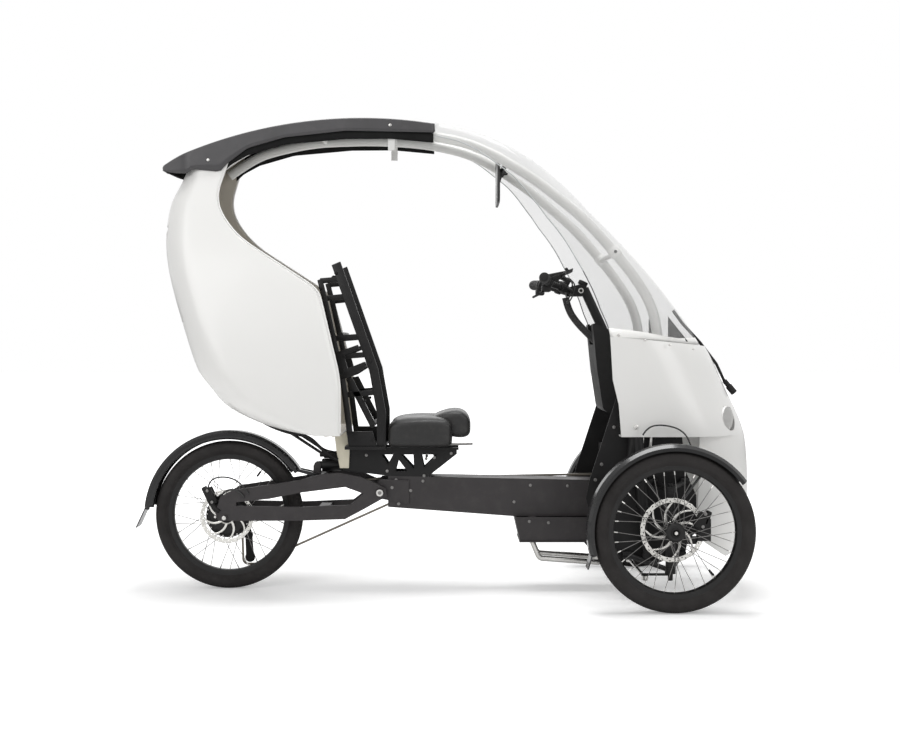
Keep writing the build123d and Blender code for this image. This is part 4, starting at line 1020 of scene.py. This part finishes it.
# Seat back: two flat rails a side, joined by ribs, with the plates at their feet
rail_low, rail_high, rib_half = 120.0, 131.0, 9
front_rail = [(-330, 1100), (-206, 748), (-180, 602), (-180, 480), (-210, 480), (-210, 600), (-235, 740),
              (-359, 1088)]
rear_rail = [(-406, 1038), (-392, 981), (-330, 702), (-302, 480), (-282, 480), (-311, 699), (-374, 983),
             (-390, 1044)]
rear_middle = [(480, -292), (700, -322), (981, -383), (1040, -398)]
front_middle = [(600, -196), (748, -222), (1100, -346)]
slide_bracket = [(-346, 800), (-272, 826), (-268, 812), (-318, 790), (-306, 748), (-250, 770), (-246, 752),
                 (-292, 722), (-338, 706)]
brace = [(-312, 712), (-290, 716), (-214, 566), (-232, 556)]
foot_plate = [(-308, 540), (-224, 540), (-206, 480), (-300, 480)]


def make_seat_back():
    back, studs = bmesh.new(), bmesh.new()
    for outline in (front_rail, rear_rail):
        plate(back, outline, rail_low, rail_high)
    for z, rise in ((1036, 6), (978, 8), (846, 8), (786, 8), (660, 10)):
        rear, front = straight(rear_middle, z), straight(front_middle, z)
        rib = [(rear, z + rib_half), (front, z + rib_half + rise), (front, z - rib_half + rise),
               (rear, z - rib_half)]
        plate(back, rib, rail_low + 1, rail_high - 1)
    plate(back, slide_bracket, rail_low - 2, rail_high + 2)
    plate(back, brace, rail_low + 1, rail_high - 1)
    plate(back, foot_plate, rail_low - 2, rail_high + 2)
    mirror_over(back)
    for x, z in ((-0.352, 1.046), (-0.330, 0.860), (-0.254, 0.760), (-0.226, 0.560)):
        pin(back, (x, -0.124, z), (x, 0.124, z), 0.0085, 20)
    block(back, (-0.250, 0, 0.486), (0.130, 0.276, 0.010))
    for side in (-1, 1):
        for x, z in ((-0.345, 1.062), (-0.396, 1.012), (-0.318, 0.786), (-0.320, 0.740), (-0.250, 0.640),
                     (-0.222, 0.512), (-0.286, 0.512), (-0.232, 0.772)):
            pin(studs, (x, side * 0.129, z), (x, side * 0.1365, z), 0.0055, 6, 0.0008)
    back_piece = placed("seat_back", back, "chassis", frame_black)
    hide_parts("seat_back_frame")
    placed("seat_back_bolts", studs, "chassis", moulded_black)


def make_gussets():
    """Plates at the screen's foot."""
    gusset = bmesh.new()
    plate(gusset, [(738, 918), (738, 841), (803, 836)], 184, 188)
    mirror_over(gusset)
    placed("screen_gussets", gusset, "chassis", frame_black)


# Bolts of the main beam, tray, joint plates, bracket, footwell sides and swingarm
beam_bolts = [(0.301, 0.050, 0.354), (0.426, 0.050, 0.352), (0.246, 0.050, 0.298), (0.296, 0.074, 0.236),
              (0.360, 0.074, 0.232), (0.540, 0.074, 0.234), (0.560, 0.050, 0.292), (-0.150, 0.050, 0.372),
              (-0.060, 0.050, 0.368), (-0.162, 0.082, 0.350), (-0.140, 0.082, 0.296), (-0.100, 0.082, 0.340)]
bracket_bolts = [(-0.180, 0.402), (-0.056, 0.386), (-0.049, 0.443), (-0.022, 0.447), (0.035, 0.461),
                 (-0.250, 0.455)]
footwell_bolts = [(0.560, 0.560), (0.520, 0.440), (0.500, 0.390), (0.800, 0.300), (0.800, 0.420)]


def make_frame_bolts():
    bolts = bmesh.new()
    for side in (-1, 1):
        for x, y, z in beam_bolts:
            pin(bolts, (x, side * (y - 0.002), z), (x, side * (y + 0.0026), z), 0.0052, 16, 0.001)
        for x, z in bracket_bolts:
            pin(bolts, (x, side * 0.048, z), (x, side * 0.0525, z), 0.0056, 6, 0.0008)
        for x, z in footwell_bolts:
            pin(bolts, (x, side * 0.204, z), (x, side * 0.2085, z), 0.0060, 6, 0.0008)
    placed("frame_bolts", bolts, "chassis", spoke_steel)


def make_pivots():
    """Rings and caps of the swingarm's pivot, and the axle nuts."""
    rings, caps = bmesh.new(), bmesh.new()
    for side in (-1, 1):
        ring = [(0.0062, 0.0870), (0.0062, 0.0905), (0.0112, 0.0905), (0.0122, 0.0893), (0.0122, 0.0870)]
        lathe(rings, [(r, side * y) for r, y in ring], swing_pivot, steps=32)
        pin(caps, off(swing_pivot, 0, side * 0.084), off(swing_pivot, 0, side * 0.0896), 0.0066, 6)
        nut = off(rear_axle, -0.002, side * 0.088)
        pin(rings, off(nut, 0, -side * 0.006), off(nut, 0, side * 0.0075), 0.0078, 6, 0.0012)
        stop = off(nut, -0.030, 0, 0.003)
        pin(rings, off(stop, 0, -side * 0.006), off(stop, 0, side * 0.0030), 0.0042, 14, 0.001)
    placed("pivot_rings", rings, "chassis", bright_steel)
    placed("pivot_caps", caps, "chassis", spoke_steel)


def make_shell_legs():
    """Cream legs under the rear shell, and the strap from it to the shock."""
    legs = bmesh.new()
    outline = [(-358, 538), (-318, 538), (-305, 486), (-308, 412), (-338, 412), (-350, 470)]
    for low, high in ((-59.0, -52.0), (52.0, 59.0)):
        plate(legs, outline, low, high, 0.0016)
    placed("shell_legs", legs, "chassis", cream)
    strap = [(x, -0.062, z) for x, z in ((-0.655, 0.612), (-0.600, 0.566), (-0.513, 0.531), (-0.440, 0.520),
                                         (-0.392, 0.468), (-0.345, 0.440))]
    tube_line("shell_strap", strap, 0.0058, "chassis", moulded_black)


def make_shock():
    """Canister with its bellows, reservoir, adjuster knobs and two eyes."""
    shock, knobs, eyes = bmesh.new(), bmesh.new(), bmesh.new()
    body_z, reservoir_z = 0.418, 0.452
    pin(shock, (-0.404, 0, body_z), (-0.338, 0, body_z), 0.0212, 32, 0.003)
    for i in range(9):
        x = -0.336 + i * 0.0045
        pin(shock, (x, 0, body_z), (x + 0.0022, 0, body_z), 0.0165, 24, 0.0005)
    pin(shock, (-0.398, 0, reservoir_z), (-0.346, 0, reservoir_z), 0.0125, 24, 0.003)
    pin(shock, (-0.372, 0, 0.420), (-0.372, 0, 0.446), 0.009)
    pin(knobs, (-0.424, 0, body_z), (-0.404, 0, body_z), 0.0125, 16, 0.002)
    pin(knobs, (-0.412, 0, reservoir_z), (-0.398, 0, reservoir_z), 0.0075, 14, 0.0015)
    pin(eyes, (-0.308, -0.012, body_z), (-0.308, 0.012, body_z), 0.0135, 28, 0.0015)
    pin(eyes, (-0.334, 0, body_z), (-0.312, 0, body_z), 0.0088, 20)
    pin(eyes, (-0.418, -0.012, body_z), (-0.418, 0.012, body_z), 0.0120, 28, 0.0015)
    shock_piece = placed("shock_body", shock, "chassis", frame_black)
    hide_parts("rear_shock")
    placed("shock_knobs", knobs, "chassis", moulded_black)
    placed("shock_eyes", eyes, "chassis", bright_steel)


def make_skirt(label, side):
    """Side sheet of the rear fender, round the tyre."""
    outer, inner, start, end, columns = 283.5, 256.5, 34, 174, 72
    centre = rear_axle * 1000

    def skirt_place(column, row):
        turn = radians(start + (end - start) * column / columns)
        return round_place(centre, outer + (inner - outer) * row, turn, side * 31)

    band = sheet_of(columns, 1, skirt_place)
    bmesh.ops.recalc_face_normals(band, faces=band.faces)
    walled(placed(f"rear_skirt_{label}", band, "chassis", fender_black, 40), 0.0016, offset=0)


# Brakes: calipers, hub caps, hoses and the guide rods above the front wheels
def make_caliper(label, side):
    caliper, ports = bmesh.new(), bmesh.new()
    body = f"{label}_upright"
    spot = off(front_axle, 0.088, side * (half_track - front_disc_y), 0.030)
    for away, thick in ((-0.0125, 0.0150), (0.0085, 0.0100)):
        block(caliper, off(spot, 0, side * away), (0.034, thick, 0.052), 0.004, 0.35)
    block(caliper, off(spot, 0.020, -side * 0.003, 0.008), (0.014, 0.032, 0.044), 0.004, 0.35)
    pin(caliper, off(spot, 0.010, -side * 0.014, -0.032), off(spot, -0.030, -side * 0.030, -0.040), 0.0075,
        16, 0.001)
    for x, z in ((0.012, 0.022), (0.004, -0.018)):
        pin(ports, off(spot, x, side * 0.011, z), off(spot, x, side * 0.0155, z), 0.0055, 14, 0.001)
    placed(f"caliper_{label}", caliper, body, moulded_black)
    placed(f"caliper_bolts_{label}", ports, body, spoke_steel)


def make_hub_cap(label, side):
    cap, nut, bolt = bmesh.new(), bmesh.new(), bmesh.new()
    body = f"{label}_wheel"
    centre = off(front_axle, 0, side * half_track)
    profile = [(0.0102, 0.0235), (0.0102, 0.0258), (0.0235, 0.0258), (0.0262, 0.0236), (0.0290, 0.0205),
               (0.0200, 0.0200)]
    lathe(cap, [(r, side * y) for r, y in profile], centre, steps=48)
    for shape, low, high, radius, faces, ease in (
            (cap, 0.0225, 0.0268, 0.0140, 32, 0.001), (nut, 0.0262, 0.0284, 0.0105, 28, 0.0012),
            (bolt, 0.0275, 0.0312, 0.0060, 6, 0.0010)):
        pin(shape, off(centre, 0, side * low), off(centre, 0, side * high), radius, faces, ease)
    placed(f"hub_cap_{label}", cap, body, rim_black)
    placed(f"hub_nut_{label}", nut, body, spoke_steel)
    placed(f"hub_bolt_{label}", bolt, body, bright_steel)


def make_hose_and_guides(label, side):
    hose = [(x, side * y, z) for x, y, z in (
        (0.640, 0.285, 0.540), (0.655, 0.285, 0.566), (0.700, 0.285, 0.574), (0.760, 0.287, 0.560),
        (0.790, 0.290, 0.520), (0.800, 0.292, 0.470))]
    tube_line(f"brake_hose_{label}", hose, 0.0026, "chassis", hose_black)
    rods, sleeve = bmesh.new(), bmesh.new()
    for x in (0.645, 0.671):
        pin(rods, (x, side * 0.226, 0.470), (x + 0.007, side * 0.226, 0.548), 0.0048, 16, 0.001)
    pin(sleeve, (0.612, side * 0.232, 0.462), (0.622, side * 0.232, 0.552), 0.0155, 24, 0.002)
    placed(f"guide_rods_{label}", rods, "chassis", bright_steel)
    placed(f"guide_sleeve_{label}", sleeve, "chassis", moulded_black)


def make_rear_brake():
    caliper, bolts = bmesh.new(), bmesh.new()
    for y in (-0.0640, -0.0390):
        block(caliper, (-0.772, y, 0.318), (0.030, 0.0140, 0.058), 0.004, -0.45)
    block(caliper, (-0.786, -0.0510, 0.328), (0.014, 0.038, 0.046), 0.004, -0.45)
    pin(caliper, (-0.764, -0.070, 0.292), (-0.738, -0.078, 0.268), 0.0075, 16, 0.001)
    for x, z in ((-0.780, 0.338), (-0.764, 0.300)):
        pin(bolts, (x, -0.0700, z), (x, -0.0755, z), 0.0052, 14, 0.001)
    placed("caliper_rear", caliper, "chassis", moulded_black)
    placed("caliper_bolts_rear", bolts, "chassis", spoke_steel)
    hose = [(-0.778, -0.066, 0.348), (-0.772, -0.070, 0.374), (-0.735, -0.074, 0.386),
            (-0.690, -0.078, 0.380),
            (-0.655, -0.083, 0.352), (-0.640, -0.084, 0.330)]
    lead = [(-0.742, -0.060, 0.300), (-0.732, -0.068, 0.330), (-0.700, -0.074, 0.345),
            (-0.668, -0.080, 0.335),
            (-0.655, -0.084, 0.318)]
    tube_line("rear_hose", hose, 0.0026, "chassis", hose_black)
    tube_line("motor_lead", lead, 0.0034, "chassis", hose_black)


def make_lamp_bowl(label, side):
    """Headlamp pocket: a bright bowl with a dark lens at its back."""
    way = Vector((lamp_way.x, side * lamp_way.y, 0))
    mouth = Vector((lamp_mouth.x, side * lamp_mouth.y, lamp_mouth.z))
    bowl, lens = bmesh.new(), bmesh.new()
    lathe(bowl,
          [(0.0396, -0.0005), (0.0396, -0.0390), (0.0010, -0.0390), (0.0010, -0.0360), (0.0250, -0.0350),
                 (0.0330, -0.0230), (0.0375, -0.0005)], mouth, way, steps=48)
    lathe(lens, [(0.0, -0.0352), (0.0200, -0.0352), (0.0205, -0.0300), (0.0150, -0.0262), (0.0, -0.0245)],
          mouth,
          way, steps=40, closed=False)
    bowl_piece = placed(f"lamp_bowl_{label}", bowl, "chassis", lamp_white)
    placed(f"lamp_lens_{label}", lens, "chassis", moulded_black)
    if label == "left":
        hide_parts("headlamps")


# Handlebar: shifter and brake clamps, levers, grip ribs, small display, stem bolts and cables
def dress_bar(controls, levers, side):
    near = Vector((0.351, side * 0.138, 1.034))
    way = Vector((20, side * -110, -6)).normalized()
    pins(controls, (near - way * 0.009, near + way * 0.009, 0.0182, 24, 0.002),
         (near + way * 0.022, near + way * 0.036, 0.0175, 24, 0.002))
    block(controls, off(near, -0.004, -side * 0.004, -0.024), (0.030, 0.040, 0.022), 0.005)
    block(controls, off(near, 0.026, side * 0.002, 0.010), (0.044, 0.020, 0.018), 0.005, -0.35)
    pin(controls, off(near, 0.040, side * 0.004, 0.016), off(near, 0.058, -side * 0.024, 0.010), 0.0085, 18,
        0.002)
    knee = off(near, 0.062, side * 0.050, 0.030)
    pins(levers, (off(near, 0.046, side * 0.006, 0.016), knee, 0.0056, 14, 0.002),
         (knee, off(near, 0.052, side * 0.102, 0.034), 0.0050, 14, 0.002),
         (off(near, -0.010, -side * 0.006, -0.032), off(near, -0.026, side * 0.028, -0.040), 0.0042, 12,
          0.0015))
    pin(controls, (0.399, side * 0.070, 1.020), (0.414, side * 0.060, 1.014), 0.0165, 22, 0.002)
    grip_end = Vector((0.333, side * 0.240, 1.040))
    for i in range(9):
        rib = grip_end + way * (0.010 + i * 0.0095)
        pin(controls, rib - way * 0.0022, rib + way * 0.0022, 0.01765, 28, 0.0007)
    pin(controls, grip_end - way * 0.0046, grip_end - way * 0.0028, 0.0120, 24, 0.0006)


def make_bar_controls():
    controls, bright, levers = bmesh.new(), bmesh.new(), bmesh.new()
    for side in (-1, 1):
        dress_bar(controls, levers, side)
    block(controls, (0.424, 0.0, 1.032), (0.020, 0.066, 0.042), 0.004, 0.5)
    lathe(bright, [(0.0058, -0.0218), (0.0058, 0.0218), (0.0088, 0.0218), (0.0094, 0.0208), (0.0094, -0.0208),
                   (0.0088, -0.0218)], Vector((0.474, 0, 1.009)), steps=28)
    pin(bright, (0.440, -0.0212, 1.004), (0.440, 0.0212, 1.004), 0.0060, 20, 0.001)
    pin(controls, (0.474, -0.0225, 1.009), (0.474, 0.0225, 1.009), 0.0052, 6)
    pin(controls, (0.480, 0, 1.028), (0.486, 0, 1.041), 0.0165, 24, 0.002)
    placed("bar_controls", controls, "steering_column", moulded_black)
    placed("bar_levers", levers, "steering_column", frame_black)
    placed("bar_bolts", bright, "steering_column", bright_steel)


def make_bar_cables(label, side):
    for index, (drop, reach) in enumerate(((0.0, 0.0), (0.010, 0.008))):
        route = [(0.401 + reach, side * 0.118, 1.046), (0.436 + reach, side * 0.104, 1.050 - drop),
                 (0.440 + reach, side * 0.066, 1.010 - drop), (0.426, side * 0.036, 0.968 - drop),
                 (0.426, side * 0.012, 0.972)]
        tube_line(f"bar_cable_{label}_{index}", route, 0.0023, "steering_column", hose_black)


# Cable loom from the stem to the dash, on the source's own route
loom_route = [(0.424, 0, 0.986), (0.432, 0, 0.948), (0.458, 0, 0.906), (0.500, 0, 0.862), (0.545, 0, 0.820)]
loom_thickness = 0.024


def make_loom():
    curve = bent_line("cable_loom_line", loom_route, loom_thickness / 2, 6, 14)
    curve.materials.append(grip_black)
    loom = shown("loom", curve, "steering_column")
    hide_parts("cable_loom")


# Floor, backdrop and light
def make_floor():
    """White paper that glows more for the camera the further away it lies."""
    glow_near, glow_far, near, far = 0.26, 1.0, 1.6, 3.0
    shape = bmesh.new()
    bmesh.ops.create_grid(shape, x_segments=2, y_segments=2, size=30)
    mesh = bpy.data.meshes.new("studio_floor")
    shape.to_mesh(mesh)
    shape.free()
    floor = bpy.data.objects.new("studio_floor", mesh)
    bpy.context.scene.collection.objects.link(floor)
    material = bpy.data.materials.new("studio_paper")
    material.use_nodes = True
    tree = material.node_tree
    tree.nodes.clear()
    output = tree.nodes.new("ShaderNodeOutputMaterial")
    paper = tree.nodes.new("ShaderNodeBsdfDiffuse")
    paper.inputs["Color"].default_value = (0.95, 0.95, 0.95, 1)
    glow = tree.nodes.new("ShaderNodeEmission")
    glow.inputs["Color"].default_value = (1, 1, 1, 1)
    seen = tree.nodes.new("ShaderNodeLightPath")
    coords = tree.nodes.new("ShaderNodeTexCoord")
    reach = tree.nodes.new("ShaderNodeVectorMath")
    reach.operation = "LENGTH"
    joined(tree, coords.outputs["Object"], reach.inputs[0])
    level = ranged(tree, reach.outputs["Value"], glow_near, glow_far, near, far)
    joined(tree, summed(tree, "MULTIPLY", seen.outputs["Is Camera Ray"], level), glow.inputs["Strength"])
    both = tree.nodes.new("ShaderNodeAddShader")
    joined(tree, paper.outputs[0], both.inputs[0])
    joined(tree, glow.outputs[0], both.inputs[1])
    joined(tree, both.outputs[0], output.inputs["Surface"])
    mesh.materials.append(material)


def make_world():
    """White to the camera, in reflections and through the screen, dimmer as a light."""
    dim, full = 0.36, 1.0
    world = bpy.data.worlds.new("studio")
    bpy.context.scene.world = world
    world.use_nodes = True
    tree = world.node_tree
    backdrop = tree.nodes["Background"]
    seen = tree.nodes.new("ShaderNodeLightPath").outputs
    either = summed(tree, "MAXIMUM", seen["Is Camera Ray"], seen["Is Glossy Ray"])
    either = summed(tree, "MAXIMUM", either, seen["Is Transmission Ray"])
    backdrop.inputs["Color"].default_value = (1, 1, 1, 1)
    joined(tree, ranged(tree, either, dim, full, 0, 1), backdrop.inputs["Strength"])


def make_lamp(name, place, target, size, watts):
    data = bpy.data.lights.new(name, "AREA")
    data.shape = "RECTANGLE"
    data.size, data.size_y = size
    data.energy = watts
    lamp = bpy.data.objects.new(name, data)
    lamp.location = place
    lamp.rotation_euler = (Vector(target) - Vector(place)).to_track_quat("-Z", "Y").to_euler()
    bpy.context.scene.collection.objects.link(lamp)


set_camera()
clothe_nodes()
for label, side in sides:
    centre = off(front_axle, 0, side * half_track)
    make_tyre(label, centre, f"{label}_wheel")
    make_wheel(label, centre, f"{label}_wheel", -side)
    make_hub_cap(label, side)
    make_caliper(label, side)
    make_hose_and_guides(label, side)
    make_roof_liner(label, side)
    make_screen_edges(label, side)
    make_screen_strip(label, side)
    make_skirt(label, side)
    make_lamp_bowl(label, side)
    make_bar_cables(label, side)
make_tyre("rear", rear_axle, "rear_wheel")
make_wheel("rear", rear_axle, "rear_wheel", -1)
make_rear_brake()
make_cushion("seat_cushion", main_sections, 0.008)
make_cushion("seat_nose", nose_sections, 0.0)
make_seat_lever()
make_seat_back()
make_rear_shell()
make_rear_door()
make_hinges()
make_latch()
make_shell_beads()
make_shell_legs()
make_roof()
make_roof_tubes()
make_roof_clamps()
make_roof_rivets()
make_screen()
make_gussets()
make_hood_rivets()
make_mirror()
make_wiper()
make_frame_bolts()
make_pivots()
make_shock()
make_bar_controls()
make_loom()
make_floor()
make_world()
make_lamp("overhead", (0, 0.1, 4.0), (0, 0, 0.5), (2.6, 1.8), 128)
make_lamp("front_left", (-2.6, -3.6, 2.6), (-0.2, 0, 0.8), (2.4, 2.4), 46)
make_lamp("front_right", (3.2, -3.0, 2.2), (0.3, 0, 0.7), (2.0, 2.4), 30)
make_lamp("behind", (0.0, 3.8, 2.4), (0, 0, 0.9), (3.6, 2.0), 30)
